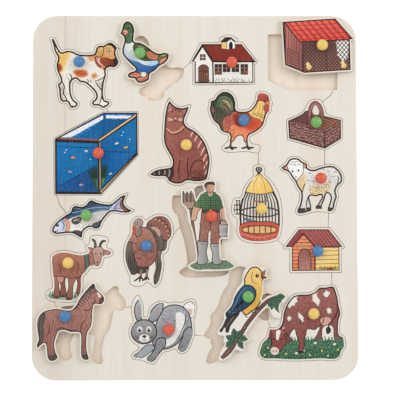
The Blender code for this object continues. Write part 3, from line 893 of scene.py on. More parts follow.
@picture("#F5EFE5", "#2B1E17")
def dog(art):
    """A white dog with tan patches, a red collar and a dark muzzle."""
    art.strokes("-24,12 28,12 28,-22 -24,-22", "#C9BDAE", -40, 2.3, 2.6, 0.25)
    art.strokes("-20,-14 -6,-10 6,-16 22,-14 24,-20 6,-21 -8,-19 -18,-22", "#A8988A", -30, 2.2, 2.4, 0.22)
    art.wash("-25,7 -20,13.4 -12,13.4 -7.6,8 -10,2 -12,-4 -16,-11 -22,-12 -25,-6", "#F8E8C0", "#F6CA78", 4)
    art.strokes("-24,5 -19,12 -12,11 -12,1 -17,-8 -24,-6", "#B9772C", 60, 1.7, 2.4, 0.25)
    art.wash("-23.6,-2 -19.4,-0.6 -16.4,-4 -17.4,-9 -21.6,-10", "#E9A466", "#9E4A2C", 1.8, 4)
    art.wash("-7,-9 0,-6.4 8,-8.4 9.6,-12 3,-16 -4,-14", "#F4D2B0", "#D2663A", 2.4)
    art.strokes("-4,-9.4 3,-8 8,-9.4 7,-13 2,-14.5 -3,-13", "#8E3A1C", 30, 1.3, 2.2, 0.3)
    art.wash("8,10.4 15,10.4 16.4,4 12,0 8,3", "#F3DEC4", "#E2A06A", 2)
    art.wash("12,-11.6 16,-10 18.6,-13 15,-17 11.4,-15", "#F0E0C8", "#CF9450", 1.6, 4)
    art.fill(
        "16,15 21,17.5 27,18 31,20 36,18 38,12 39.5,2 37,-4.5 30,-4 25,-2 20,3 16.5,7", "#F2C684 30,18 #D9924E 24,0"
    )
    art.strokes("19,15 30,19 37,15 38,6 24,4 18,8", "#9A5A28", -60, 1.8, 2.4, 0.25)
    art.fill("20,3 26,5 32,3 38,5 41,0 37,-6 29,-5.5 23,-3", "#B4502F 22,3 #5E2A1E 37,-3")
    art.strokes("20,3 26,5 32,3 38,4 36,-5 29,-5 23,-3", "#4A1F14", -20, 1.4, 2.4, 0.35)
    art.fill("35,4 40,3 40.5,-2 36,-3", "#241814")
    art.patch("15,14 18.5,17.5 22.5,17 23.5,11 21.5,6 18,5.5 15.8,9", "#F0D58A 18,16 #C98F44 22,6", 0.7)
    art.strokes("16,13 18.5,16 22,15 22,9 18,7", "#8A5A24", 80, 1.5, 2.4, 0.25)
    art.patch("28,18 31,21 36,19 38.5,15 35.5,13.5 32,16.5", "#3E2A22", 0.4)
    art.fill("27.8,9.8 29.2,11 31,9.8 29.4,8.6", "#FBF3E4")
    art.ring(29.4, 9.8, 0.95, "#1E120C", sides=10)
    art.line("26.6,10.4 29.2,12 32,10", 0.6)
    art.line("25.5,13.6 29,14.4 32,12.6", 0.4)
    art.line("27,3.5 31,2.5 35,0.5", 0.7)
    art.line("34.6,3.6 37,-0.6 36.4,-3.4", 0.5)
    art.line("16.3,6 17.5,0 21,-4 26,-6.5", 3.4, "#3A1A16", 0.9)
    art.line("16.3,6 17.5,0 21,-4 26,-6.5", 2.6, "#A83F36", 0.9)
    art.line("16.8,5 18.3,0.6 21.6,-2.9 25.6,-4.9", 0.6, "#F0C8B8", 0.7)
    art.ring(22.5, -6.2, 1.3, "#E8BE58", sides=10)
    art.fill("-24,-19 -17,-19 -15,-26 -16,-34 -12.5,-39 -16,-42 -22,-38", "#DCD2C2")
    art.line("-17.5,-18 -14.8,-24 -15.5,-31 -12.4,-37 -11.8,-41", 1.1)
    art.strokes("-17.6,-24 -13,-26 -13,-36 -17,-36", "#4A3A30", 80, 1.6, 2.6, 0.3)
    art.fill("14,-18 20,-19 25,-20 24,-30 21,-36 19,-44 12,-44 15,-36 14,-28", "#EAE0D2")
    art.line("15.5,-18.5 19,-24 22.6,-29 22,-35 19.6,-42", 1.1)
    art.strokes("19,-20 24,-20 23.6,-28 21,-24", "#5E4A3A", -70, 1.2, 2.6, 0.35)
    art.line("-10,-11 -7.5,-15 -8.6,-19", 0.8)
    art.line("-12,-15 -10,-17.6 -10.4,-21", 0.5)
    art.line("-7,-16 0,-19.4 6,-20 / 8,-16.5 9.5,-20.5", 0.8)
    art.line("10.6,-17 12.4,-21", 0.5)
    art.line("25,-14 20,-17.5 15.5,-18.5", 0.8)
    art.line("-21,11 -23.6,7 -23.4,2", 0.5, "#7A4A24")
    art.line("-10.4,-44 -9.5,-41 / -7,-45.5 -6.2,-42.5", 0.7)
    art.line("16,-44 16.6,-41.5 / 24.5,-45.5 25,-42.5", 0.6)
    art.fill("-30,25 -24,25 -23,20 -26.5,19", "#3A2C24")


@picture("#F2F3E8 -8,6 #B4C4DE -17,-3", "#26281E", margin=1.25)
def duck(art):
    """A drake with a green head, an olive wing, a blue belly and salmon feet."""
    art.fill("-22,36 -2,36 -3,20 -6,12.5 -11,9.5 -18,12", "#4A5F46 -16,30 #5C7854 -6,14")
    art.strokes("-19,33 -6,33 -6,14 -17,12", "#2F4A36", 80, 1.8, 2.6, 0.35)
    art.line("-18,11.5 -11.5,9 -5,12", 1.2, "#F6F2E6", 0.8)
    art.patch(
        "-21,19! -18.5,22 -14.5,23.6 -12.3,22 -13,19.5 -16.5,18.6", "#EDAE94 -14,22 #C8664C -18,19", 0.5, "#6A2A20"
    )
    art.line("-20,20 -16.5,20.6 -13.2,21", 0.45, "#7C3428")
    art.ring(-11.7, 25.8, 0.95, "#14100C", sides=10)
    art.line("-13.2,26.8 -11.6,27.6 -10,26.8", 0.35, "#A9B08A")
    art.line("-10.4,17 -6.6,22 -6.2,30", 0.4, "#A7B48E")
    art.strokes("-17,8 -8,8 -6,-4 -12,-8 -18,0", "#8CA6CC", -70, 1.9, 2.2, 0.3, cover=0.6)
    art.fill("-15,-4 -8,-6.5 0,-8.5 10,-9.5 18,-6.5 22,-4 24,-14 14,-20 4,-21 -8,-18", "#4A86C0 0,-7 #2E5F9C 2,-18")
    art.fill("-2,-7.2 6,-7.6 14,-6.4 19,-4 17.5,-9.5 12,-12 6,-11.6 1,-9.6", "#F3F8FA 4,-7 #BCD6EE 8,-12")
    art.strokes("-12,-8 -4,-8 3,-11 10,-13 19,-9 14,-18 2,-19", "#24497C", 10, 1.9, 2.8, 0.35)
    art.dots("0,-8 12,-8 17,-7 12,-11 4,-10.5", "#6E96C4", 2, 0.35)
    art.patch("-6.5,8 -1,11 7,8.5 14,4.5 20,-0.5 19.5,-4.8 12,-6.8 3,-6.6 -3,-3.4 -6,2.5", "#525A36", 0.4)
    art.fill("6.5,1.4 12,1.2 17.6,-2.6 17,-5 11,-5.2 7.5,-3.4", "#DD8468")
    for y in (5.4, 2.8, 0.2, -2.4):
        art.line([(-4, y + 1.2), (2, y - 0.6), (7, y - 1.2)], 0.5, "#2B301C")
    art.line("8,0 12.5,-0.6 17,-3.2 / 8.2,-2.6 12.5,-3 16,-4.4", 0.45, "#8C3E2E")
    art.line("-3,7.5 2,7 6,5", 0.6, "#A9A878")
    art.patch("19,-2 24.5,1.5 30,1.2 29,-5 23,-10 18,-8", "#6B6A3A", 0.4)
    art.fill("20,-7 27,-4.6 24,-9 20,-11", "#D99078")
    art.line("20.5,-2.6 25,-1.2 28.5,-0.6", 0.5, "#D8CF9A")
    art.line("20.5,-4.4 25,-3.6 28,-3", 0.5, "#2B301C")
    art.fill("-14,-17.6 -3,-18.6 0,-18.6 6,-18.9 11,-19 12,-32 -14,-32", "#DD8C72")
    art.line("-8,-16.5 0,-19.6 8,-19.4 14,-17.8", 1)
    art.fill("1,-19.4 5.8,-19.4 5.4,-22.6 1.2,-22.6", None)
    art.line("0.5,-19 0.4,-22.5 -5,-23.6 / 6.4,-19 6,-22.8 0,-23.4 -4.5,-25", 0.8, "#7C3428")
    art.line("-10.6,-20.6 -6,-20.6 -2,-21.4 / -2,-27.6 3,-26 7,-25.4", 0.5, "#7C3428")


def window(art, left, right, low, high, glass, bars="#D9CFC2"):
    """A small window in a frame, with one bar across and one up."""
    art.patch([(left, low), (right, low), (right, high), (left, high)], glass, 0.5, "#33211E")
    art.line([((left + right) / 2, low), ((left + right) / 2, high)], 0.45, bars, 1)
    art.line([(left, (low + high) / 2), (right, (low + high) / 2)], 0.45, bars, 1)


@picture(None, "#2C1D1A", margin=0.9, contour=None)
def farmhouse(art):
    """A white farmhouse with a dark red roof, a bell turret and a plank door."""
    art.patch("-35.6,2! -35.6,-19.4! 20.4,-19.2! 20.2,2!", "#F3EFE7", 1.2)
    art.strokes("-17,-10 20,-10 20,-19 -17,-19", "#BFBEB6", 0, 2.4, 3.4, 0.25, 8)
    roof = "-28.9,17.6! 9.6,17.6! 22.6,1.2! -18.6,1.2!"
    art.patch(roof, "#A63C2E", 0.8)
    art.rows(roof, "#3A100E", 56, 1.7, 0.46, 0.1)
    art.rows(roof, "#6A201A", -8, 3.1, 0.3, 0.2)
    art.fill("-37.8,1.6! -28.8,16! -19.8,1.6!", "#F3EFE7")
    art.line("-39,1.2! -28.9,17.4! -18.6,1.2!", 2, None, 1)
    art.line("-19.4,1.2! 23,1.2!", 1.5, None, 1)
    art.line("-29.6,17.9! 10.2,17.9!", 1.3, None, 1)
    art.line("-18.8,1! -18.4,-19.6!", 1.2, None, 1)
    window(art, -31, -26.4, 3, 8, "#5A3A38")
    art.patch("-32.4,-18.8! -32.4,-5! -30.4,-3 -25.4,-3 -23.4,-5! -23.4,-18.8!", "#7E5044", 0.8)
    for x in (-30, -27.8, -25.6):
        art.line([(x, -18.6), (x, -3.6)], 0.35, "#4A2A24", 1)
    art.line("-32.4,-8.4! -23.4,-8.4!", 0.5, "#4A2A24", 1)
    art.ring(-24.8, -11.6, 0.5, "#E5C66A", sides=8)
    for left in (-16.6, -8.4, 0.4, 9.2):
        window(art, left, left + 6.4, -8.8, -1.8, "#3A2826", "#A59088")
    for left in (-16.8, 9):
        art.patch([(left, -11.6), (left + 6.8, -11.6), (left + 6.8, -9.6), (left, -9.6)], "#6E4A3A", 0.3)
        art.dots([(left, -10), (left + 6.8, -10), (left + 6.8, -7.6), (left, -7.6)], "#D8784E", 1.1, 0.45, 1)
        art.dots([(left, -10), (left + 6.8, -10), (left + 6.8, -8), (left, -8)], "#4A5A34", 1.2, 0.4, 0.8)
    art.patch("-10,14.4! -10,21.4! -4.6,21.4! -4.6,13.6!", "#EBC982", 0.5)
    art.patch("-4.6,13.6! -4.6,21.4! -0.8,24! 3.2,21.4! 3.2,14.4!", "#F6F2EA", 0.5)
    art.fill("-2.5,13.8! -2.5,19 -1.8,20.6 -0.8,21.2 0.2,20.6 0.9,19 0.9,14.2!", "#221A18")
    art.fill("-11.2,21! -6.8,25.6! -0.6,25.6! 4.6,21! 3,20.4! -0.8,23.4! -4.8,20.6! -10.4,20.4!", "#33221E")
    art.line("-9.4,22.4 -6,24.6", 0.4, "#7A5A4E", 1)
    art.strokes("-36,-17.6 20,-17.6 20,-20.4 -36,-20.4", "#33402C", 75, 1.5, 2.4, 0.5, 18)


@picture("#7A5658", "#2E1C1C", margin=1.15, contour=1.2)
def coop(art):
    """A hen house: red tiles, a plank side wall with a louvred door, and wire mesh with two chicks behind it."""
    art.fill("-20,5! 32,6! 32,-30! -20,-30!", "#76524C 0,4 #96685C 4,-26")
    for angle in (52, -48):
        art.rows("-18.4,5! 27.4,6.4! 27.2,-25.6! -18.4,-27.4!", "#33201F", angle, 2.5, 0.46, 0.05)
    art.fill("13.6,5.6! 26.4,5.6! 25.6,-12! 20.4,-16.6! 15.6,-11.4!", "#F3F1EC")
    for angle in (52, -48):
        art.rows("13.6,5.6! 26.4,5.6! 25.6,-12! 20.4,-16.6! 15.6,-11.4!", "#2A1E1E", angle, 3, 0.6, 0.05)
    for x, y in ((-13, -21.5), (21.5, -20)):
        art.ring(x, y, 2.7, "#F3D48A", 0.85, 20)
        art.ring(x - 1.2, y + 3.2, 1.7, "#F7E2A8")
        art.ring(x - 1.6, y + 3.5, 0.4, "#2A1B14", sides=6)
        art.line("-2.8,3 -4,2.6", 0.7, "#D98A3A", at=(x, y))
        art.line("-0.6,-2 -0.8,-4.6 / 0.8,-2 0.8,-4.6", 0.45, "#B8743A", at=(x, y))
        art.line("-1,0 0.8,-0.8 2,0.8", 0.4, "#B98A3A", at=(x, y))
    art.line("-18.6,-27.6! 28,-25!", 1.1, None, 1)
    art.line("26.8,6! 27.6,-25!", 1, None, 1)
    art.line("4.4,5! 4.6,-26!", 0.8, "#4A3536", 1)
    side = "-38.8,24! -20,4! -18.6,-28! -36.6,-20!"
    art.fill(side, "#BC756C -38,0 #985A55 -19,-6")
    art.rows(side, "#5A3638", 89, 2.7, 0.45, 0.05)
    art.patch("-34,-3! -24,-7! -24,-25! -34,-20!", "#A56A65", 0.5)
    for y in np.arange(-5, -23, -2.4):
        art.line([(-33.4, y), (-24.4, y - 3.4)], 0.7, "#5A3234", 1)
    art.line("-37,22.6! -36.2,-19.4!", 0.8, "#4A2C2E", 1)
    art.line("-19.4,4! -18.8,-27!", 1.3, "#4A2C2E", 1)
    roof = "-38.4,24.2! 14,27.8! 31.6,6.4! -21.6,3.6!"
    art.fill(roof, "#F05E4E 0,26 #DE3E34 4,4")
    art.rows(roof, "#8A2420", -50, 2.6, 0.6, 0.05)
    art.rows(roof, "#F59A88", -50, 5.2, 0.35, 0.1)
    art.rows(roof, "#A82E28", 3, 4.6, 0.45, 0.25)
    art.strokes(roof, "#6A1C1A", -50, 2.6, 2.6, 0.3, 6, 0.6)
    art.line("-38,24.6! -22,3.8! 31,6!", 1.2, "#5A2326", 1)


def small_fish(art, x, y, turn, length, body):
    """A little fish with a forked tail and an eye, drawn in shares of its length."""
    tail = [(-0.35, 0), (-0.62, 0.22), (-0.55, 0), (-0.62, -0.22)]
    trunk = [(0.5, 0), (0.25, 0.2), (-0.1, 0.19), (-0.42, 0.03), (-0.42, -0.03), (-0.1, -0.19), (0.25, -0.2)]
    gill = [(0.1, 0.17), (0.04, 0), (0.1, -0.17)]
    eye = [0.3, 0.05]
    tail, trunk, gill, eye = (turned(np.array(part) * length, turn, x, y) for part in (tail, trunk, gill, eye))
    art.fill(offset(counter_clockwise(trunk), 0.35), "#0A2444")
    art.fill(tail, "#0A2444")
    art.fill(trunk, body)
    art.ring(*eye, 0.1 * length, "#1B1B22", sides=6)
    art.line(gill, 0.35, "#0A2444")


@picture("#0068B4", "#2A2022", margin=0.5, contour=1.3)
def aquarium(art):
    """A glass tank seen from its corner, full of blue water, with fish, weed and sand."""
    art.fill("-42,14! 0,12! 1,-40! -42,-40!", "#0C78B8 -20,12 #0066A4 -20,-36")
    art.fill("0,12! 38,37! 38.6,-2! 2,-40!", "#0262A4 4,0 #0472B2 34,20")
    art.fill("-40,15! 5,38! 37,38! 0,13!", "#026EAA -20,16 #045690 20,36")
    art.strokes("-41,10 -1,9 0,-36 -41,-38", "#3E92D2", 80, 3.4, 1.8, 0.3, 30, 0.6)
    art.strokes("-41,10 -1,9 0,-36 -41,-38", "#06305C", 80, 2.6, 1.6, 0.4, 40, 0.7)
    art.strokes("3,8 37,32 37,2 4,-33", "#062A52", 80, 2.4, 1.8, 0.45, 40, 0.75)
    art.strokes("-30,17 5,36 32,35 2,15", "#0C4478", 40, 2.8, 2.4, 0.4, 20, 0.6)
    art.fill("-37,16! 4,37.6! 5.4,34.6! -27,16!", "#F6F6F8")
    art.strokes("-32,16 4,36 4,34 -26,16", "#8CB8E0", 28, 1.8, 2.4, 0.4, 8)
    art.fill("7.5,38! 33,37.4! 29,34.6! 7.5,34.8!", "#F6F6F8")
    art.strokes("8,37 32,37 28,35 8,35", "#8CB8E0", 0, 1.8, 2.4, 0.4, 8)
    art.line("5.2,38! 5.4,22! 3,16", 1, "#174A80", 1)
    art.fill("-41,-34! -14,-20 -2,-14 0,-37! -41,-38!", "#165C9C -30,-30 #0F4C88 -4,-20")
    art.dots("-38,-34 -14,-22 -2,-17 -1,-36 -38,-37", "#08294E", 1.9, 0.5)
    art.line("-41,-33.4 -24,-24.6 -12,-17.6 -3,-12.6", 0.8, "#08294E")
    art.line("-41,6.6 -20,6.2 -2,5.2 / 4,2.4 20,1.4 37,1.4", 0.6, "#082C54")
    for lean in np.linspace(-10, -1, 7):
        art.line([(-0.8, -37), (lean * 0.55 - 1, -24), (lean - 1, -9 + 0.7 * lean)], 1.2, "#1C3A2C", 0.15)
        art.line([(-0.9, -36), (lean * 0.5 - 1, -25)], 0.5, "#5F9A5A", 0.15)
    for lean in np.linspace(1.5, 7, 5):
        art.line([(3.6, -33), (2.6 + lean * 0.6, -24), (2 + lean, -7 - 0.6 * lean)], 1.2, "#1C3A2C", 0.15)
        art.line([(3.8, -32), (2.9 + lean * 0.5, -24)], 0.5, "#5F9A5A", 0.15)
    for one in (
        (-25, -4, 12, 6, "#E8A070"),
        (-12, 2.4, -170, 4.6, "#F3F3F5"),
        (-28, -18, -8, 5, "#C9A9C9"),
        (-17, -31, 8, 5.4, "#B9A7C4"),
        (18, 10, 28, 5, "#F3F3F5"),
        (27, 6, 200, 5.4, "#E8C070"),
        (12, -20, 40, 4, "#F3F3F5"),
    ):
        small_fish(art, *one)
    for x, y in ((-33, 1), (-31.6, 3.6), (-8, -6), (23, 18), (24.4, 21), (31, 14)):
        art.ring(x, y, 0.7, "#BFE0F6", sides=8)
    art.line("-43,13.2! 0,11.4!", 3.4, "#2A2022", 1)
    art.line("-42,15! 0.6,13.2!", 1.2, "#9A5A4A", 1)
    art.line("0.2,12.4! 38.4,38!", 3.6, "#2A2022", 1)
    art.line("0.6,12.8! 38,38.6!", 1.4, "#E2BE84", 1)
    art.line("-42.6,15.6! 5,40.4!", 1.9, "#8A4A40", 1)
    art.line("4,40.4! 38.6,40.4!", 2.2, "#5A3A38", 1)
    art.line("-42.2,15! -42,-40!", 2.4, "#241C1E", 1)
    art.line("-43,-39.2! 2,-39.6!", 3.2, "#241C1E", 1)
    art.line("0.6,12! 1.4,-39!", 2.8, "#241C1E", 1)
    art.line("1.2,11! 1.9,-38!", 0.9, "#B99A6A", 1)
    art.line("38.2,39! 38.6,-1!", 2.4, "#241C1E", 1)
    art.line("1.9,-38.9! 38.3,-0.7!", 3.8, "#241C1E", 1)
    art.line("2.2,-38.4! 38.1,-1.4!", 1.3, "#D9B684", 1)


@picture("#A5645A -10,10 #925149 18,-20", "#33201C")
def cat(art):
    """A sitting red-brown cat with pale stripes on its back and a ringed tail."""
    art.strokes("-22,40 4,34 0,20 22,0 24,-34 -16,-36 -12,-14 -22,2", "#6E3835", -75, 2.1, 3.2, 0.35)
    art.strokes("-20,30 -4,18 14,6 10,-10 -10,-14 -20,6", "#C07F76", -70, 3.2, 2.6, 0.35)
    for x, y, lean in (
        (7, 14.5, 3), (11.5, 11, 3.4), (15.4, 5.5, 4), (18.4, -1, 4.2), (20.4, -8, 4), (21, -15.5, 3.6),
        (21, -23, 3),
    ):
        art.line([(x + 0.6, y), (x - lean * 0.5, y - lean), (x - lean, y - 2.2 * lean)], 1.5, "#E2B4AC", 0.2)
    art.line("-19.6,17 -14,12.6 -8,14 -1.5,19.4", 1.9, "#D39A78", 0.6)
    art.line("-19.8,15.4 -14,10.8 -7,12.4 -1,17.8", 0.8, "#38221F", 0.4)
    art.fill("-15,41.5 -13,36 -17,33.6 / 1.4,37.4 -2.6,35.6 -0.6,31.6", "#C58A80")
    art.line("-17.6,35.6 -14,38.8 -8,38 -3.6,36.6 -0.4,33", 0.6)
    for x in (-14.4, -6.4):
        art.ring(x, 31, 1.6, "#D9B25E", 0.72)
        art.ring(x, 31, 0.85, "#1E1210", 1.2, sides=8)
        art.line([(x - 2, 32.8), (x, 33.6), (x + 2, 32.8)], 0.5)
    art.ring(-10.6, 26.6, 1.2, "#E8C0B4", 0.7, sides=8)
    art.line("-10.6,26 -10.6,24.4", 0.5)
    art.line("-13.4,23.4 -10.6,24.4 -7.8,23.4", 0.55)
    for lift in (-0.9, 0.6, 2):
        art.line([(-13.2, 25.2 + lift * 0.3), (-18.6, 25.4 + lift)], 0.3, "#F0DCD2", 0.4)
        art.line([(-7.8, 25.2 + lift * 0.3), (-2.6, 25.4 + lift)], 0.3, "#F0DCD2", 0.4)
    for x in (-13.4, -10.4, -7.4):
        art.line([(x, 37.6), (x + 0.2, 34.4)], 0.6)
    art.fill("-40,-22 -22,-20 -13.4,-22 -14,-33 -30,-34", "#3C2C2B")
    for x in (-32.5, -27.5, -22, -17.4):
        art.line([(x, -21.6), (x + 1, -26), (x - 0.6, -33)], 1.3, "#9A938C", 0.7)
    art.line("-12.6,-18 -14,-27 -17,-33", 1.1)
    art.line("-6,-14 -7.4,-24 -6.6,-34 / 2,-12 1,-22 1.6,-32 -3,-37", 0.9)
    art.line("4,-30 5.4,-20 12,-14.6 18,-18 19.6,-27", 0.8)
    art.strokes("3,-26 20,-27 20,-33 4,-33", "#38221F", 15, 1.3, 2.8, 0.5)
    art.line("4.6,-31 12,-32.4 20,-31.4", 0.8)
    art.line("-12,-37 -11.6,-34.6 / -8,-37.6 -7.8,-35 / 10,-36 10.4,-33.6", 0.5)


@picture("#FA9C6E -6,-14 #E8583A 10,4", "#33211A", margin=1.5, contour=1.4)
def rooster(art):
    """A red rooster with a golden neck and a green plume of a tail."""
    art.fill("-40,34 -6,34 -5,12 -10,4 -16,0 -22,-12 -40,-12", "#3C4A3A -24,26 #5E5842 -14,2")
    for bow in np.linspace(0, 1, 6):
        tip = (-33 + 15 * bow, -4 + 8 * bow)
        art.line(
            [
                (-8 - 2 * bow, 8), (-11 - 3 * bow, 24 - 7 * bow), (-22 + 2 * bow, 26.5 - 8 * bow),
                (-30 + 9 * bow, 14 - 4 * bow), tip,
            ],
            0.9, "#24362A",
        )
    for bow in np.linspace(0.1, 0.9, 5):
        art.line(
            [
                (-10 - 2 * bow, 10), (-13 - 3 * bow, 22 - 7 * bow), (-22 + 2 * bow, 24.5 - 8 * bow),
                (-28 + 8 * bow, 14 - 4 * bow),
            ],
            0.5, "#86966E",
        )
    art.line("-13,12 -16,18 -21,20.4", 1.1, "#E2B27A")
    art.line("-15,8 -19,14 -23,15", 1.5, "#9A6A5A")
    art.fill("-36,16 -31,14 -29,9 -33,8 -36,11", "#8A5A62")
    art.fill("-30,-2 -24,-6 -21,-13 -26,-12", "#5A4A48")
    art.patch("-20,1 -14,5 -8,4 -9,-2 -13,-5 -16,-10 -19,-8", "#C9705C", 0.4)
    art.strokes("-18,2 -10,4 -12,-4 -17,-8", "#6E2E24", 60, 1.4, 3, 0.4)
    art.wash("-2,9 12,8 20,3 23,4 22,-4 16,-10 6,-13 0,-10 -3,-2", "#F49470", "#E05438", 5, 6)
    art.strokes("6,6 20,3 22,-4 14,-10 6,-8", "#9E2E1E", -50, 2, 2.8, 0.32)
    art.wash("-12,6.4 -2,10 5.4,8.6 9,2 5,-5 -3,-6.8 -9.6,-3.4", "#CC6A50", "#A04836", 2.4, 4)
    for y in (4, 1.4, -1.2, -3.6):
        art.line([(-9, y + 1.2), (-3, y - 1), (4, y)], 0.55, "#5A2018")
    art.strokes("-14,-6 -2,-8 14,-8 6,-14 -12,-20", "#C75C34", 15, 1.9, 2.4, 0.35)
    art.strokes("-15,-7 -9,-9 -9,-14 -13,-19", "#7A3A26", 70, 1.3, 2.6, 0.4)
    art.patch("5,9 10,13.6 14,18.6 17,21 22,20 23.4,14 22,6 20,-1.4 15,2 9,4", "#F8D080", 0.5)
    for start, end in (((14.6, 19), (8, 6)), ((17, 18), (12.4, 4)), ((19, 17), (16.4, 3)), ((21, 15), (19.6, 1.4))):
        art.line([start, ((start[0] + end[0]) / 2 + 0.8, (start[1] + end[1]) / 2), end], 0.5, "#A06A26")
    art.strokes("9,5 14,4 20,-1 22,5 18,7 11,9", "#7A4A20", 75, 1.3, 3, 0.4, 10)
    art.outline()
    art.fill("6,20.6! 14.2,20.6! 24,18! 34,19! 34,36! 6,36!", None)
    art.patch(
        "14.2,20! 12.6,22.2 14.8,23.4! 13.8,25.6 15.2,27 17,25! 17.2,27.8 19,28.8 20,25.6! 21.2,28.2 22.8,27.8"
        " 22.8,24.8! 24.6,26 25.8,24.8 24.6,22.4! 26.4,22.2 26,20.2 23,18.4 17,20.2",
        "#CF6658 18,27 #9E3E34 20,20", 0.45,
    )
    for x, y in ((15.8, 24.6), (18.4, 25.6), (21.4, 25), (23.6, 23)):
        art.line("0,0 0.4,-3", 0.4, "#6E2A22", at=(x, y))
    art.fill("21,19.6 24,19.4 24.4,16 21.4,15.6", "#D9705E")
    art.ring(21.4, 19.2, 0.9, "#1E1210", sides=8)
    art.fill("23.4,18 27.8,17.2 24,15.2", "#D9A24A")
    art.patch("20.6,15 24,15.6 26,12 24.4,8.6 21,9.6 20,12", "#B9544A", 0.4)
    art.fill(
        "-34,-13.6! -15.2,-13.6! -13.6,-20.4! -10.2,-20.4! -7.6,-15.4 -4,-13.6 -1,-14.6 0.8,-20.8! 3.8,-20.8!"
        " 6.6,-14! 30,-14! 30,-34! -34,-34!",
        None,
    )
    art.line(
        "-15.8,-12.6 -14.6,-16.4 -13.4,-20.4! -10.4,-20.4! -7.4,-15.8 -4,-14 -1.2,-15 0.8,-20.8! 3.8,-20.8!"
        " 5.4,-16.4 8.4,-13.4",
        0.8, None, 1,
    )
    for ankle, foot in ((-12, -13.2), (2.2, 3.4)):
        art.line([(ankle, -20), (foot, -24.6), (foot - 0.2, -26.2)], 2.1, "#43362F", 0.8)
        art.line([(foot, -25.6), (foot - 3.4, -27), (foot - 6, -27.2)], 1.8, "#43362F", 0.4)
        art.line([(foot, -25.6), (foot + 3, -26.8), (foot + 6.8, -26.6)], 1.8, "#43362F", 0.4)
        art.line([(foot, -25.6), (foot + 0.8, -27.6), (foot + 3, -28.6)], 1.8, "#43362F", 0.4)
        art.line([(ankle + 0.3, -20.6), (foot + 0.3, -24.4)], 0.45, "#9A8876", 1)


@picture("#946860", "#37221F", margin=1.15, contour=1.2)
def basket(art):
    """A square wicker basket with an arched handle, seen from one corner."""
    art.fill("-30,2! -10,11! -6,11! 24,4! 24,1 6,-7 -8,-5 -24,-1!", "#6E4440 -16,4 #A0664E 18,3")
    art.rows("-24,2! -10,9! 8,7! 22,3! 8,-5!", "#43282A", -18, 2.6, 0.5, 0.1)
    art.line("9,6.6! 26,2.6!", 2, "#C9825C", 0.8)
    left_wall = "-27,0! 7.6,-8! 8,-25.6! -26.4,-15.6!"
    right_wall = "8,-8! 24.6,1.4! 24.4,-16! 8.4,-25.6!"
    for wall, fall, light, dark in ((left_wall, -13, "#C49E92", "#43262A"), (right_wall, 30, "#BC9286", "#3E2426")):
        art.fill(wall, "#8E5E57")
        loop = as_loop(wall)
        art.rows(loop, dark, fall, 2.7, 0.7, 0.12)
        art.strokes(loop, light, fall + 16, 2.3, 2.4, 0.75, 6, 0.9)
        art.strokes(loop, dark, fall - 40, 2.9, 1.6, 0.4, 8, 0.6)
    art.line("-28,1.2! 8,-7.4! 25.6,2.4!", 1.9, "#6A3E3A", 1)
    for x in np.arange(-26, 24, 2.1):
        y = 0.6 - 8.2 * (x + 26) / 34 if x < 8 else -7.6 + 9.6 * (x - 8) / 17
        art.line("0,0.9 0.9,-0.9", 0.5, "#C08A7E", 0.5, at=(x, y))
    art.line("8,-8! 8.2,-25.4!", 1, None, 1)
    art.line("-27,-14.6! 8.2,-24.8! 24.6,-15.2!", 1.5, "#55302E", 1)
    art.outline()
    art.fill("-14,9.4! -9.8,11.2! 4,11.2! 7.6,6! 14.6,4.4! 16,26! -16,26!", None)
    art.line("-14.6,8.6! -9.8,11.2! -8,11.2! / 7.6,6.2! 14.6,4.6!", 1.2, None, 1)
    handle = "-6.2,-4 -6.4,6 -5.2,14 -3.2,18.2 -0.6,19.6 2.2,18.2 5,13 6.4,5"
    art.line(handle, 4, "#43292A", 1)
    art.line(handle, 2.7, "#8E5C56", 1)
    for share in np.linspace(0.04, 0.96, 15):
        angle = math.pi * (1 - share)
        x, y = -0.2 + 6 * math.cos(angle), 6.6 + 12 * math.sin(angle)
        art.line("-1,-0.6 1,0.7", 0.45, "#C79488", 0.5, at=(x, y))
    art.fill("-3,9.6 -2.6,13.6 -0.6,16.6 1.8,14 3.2,10 2.4,8.4", None)


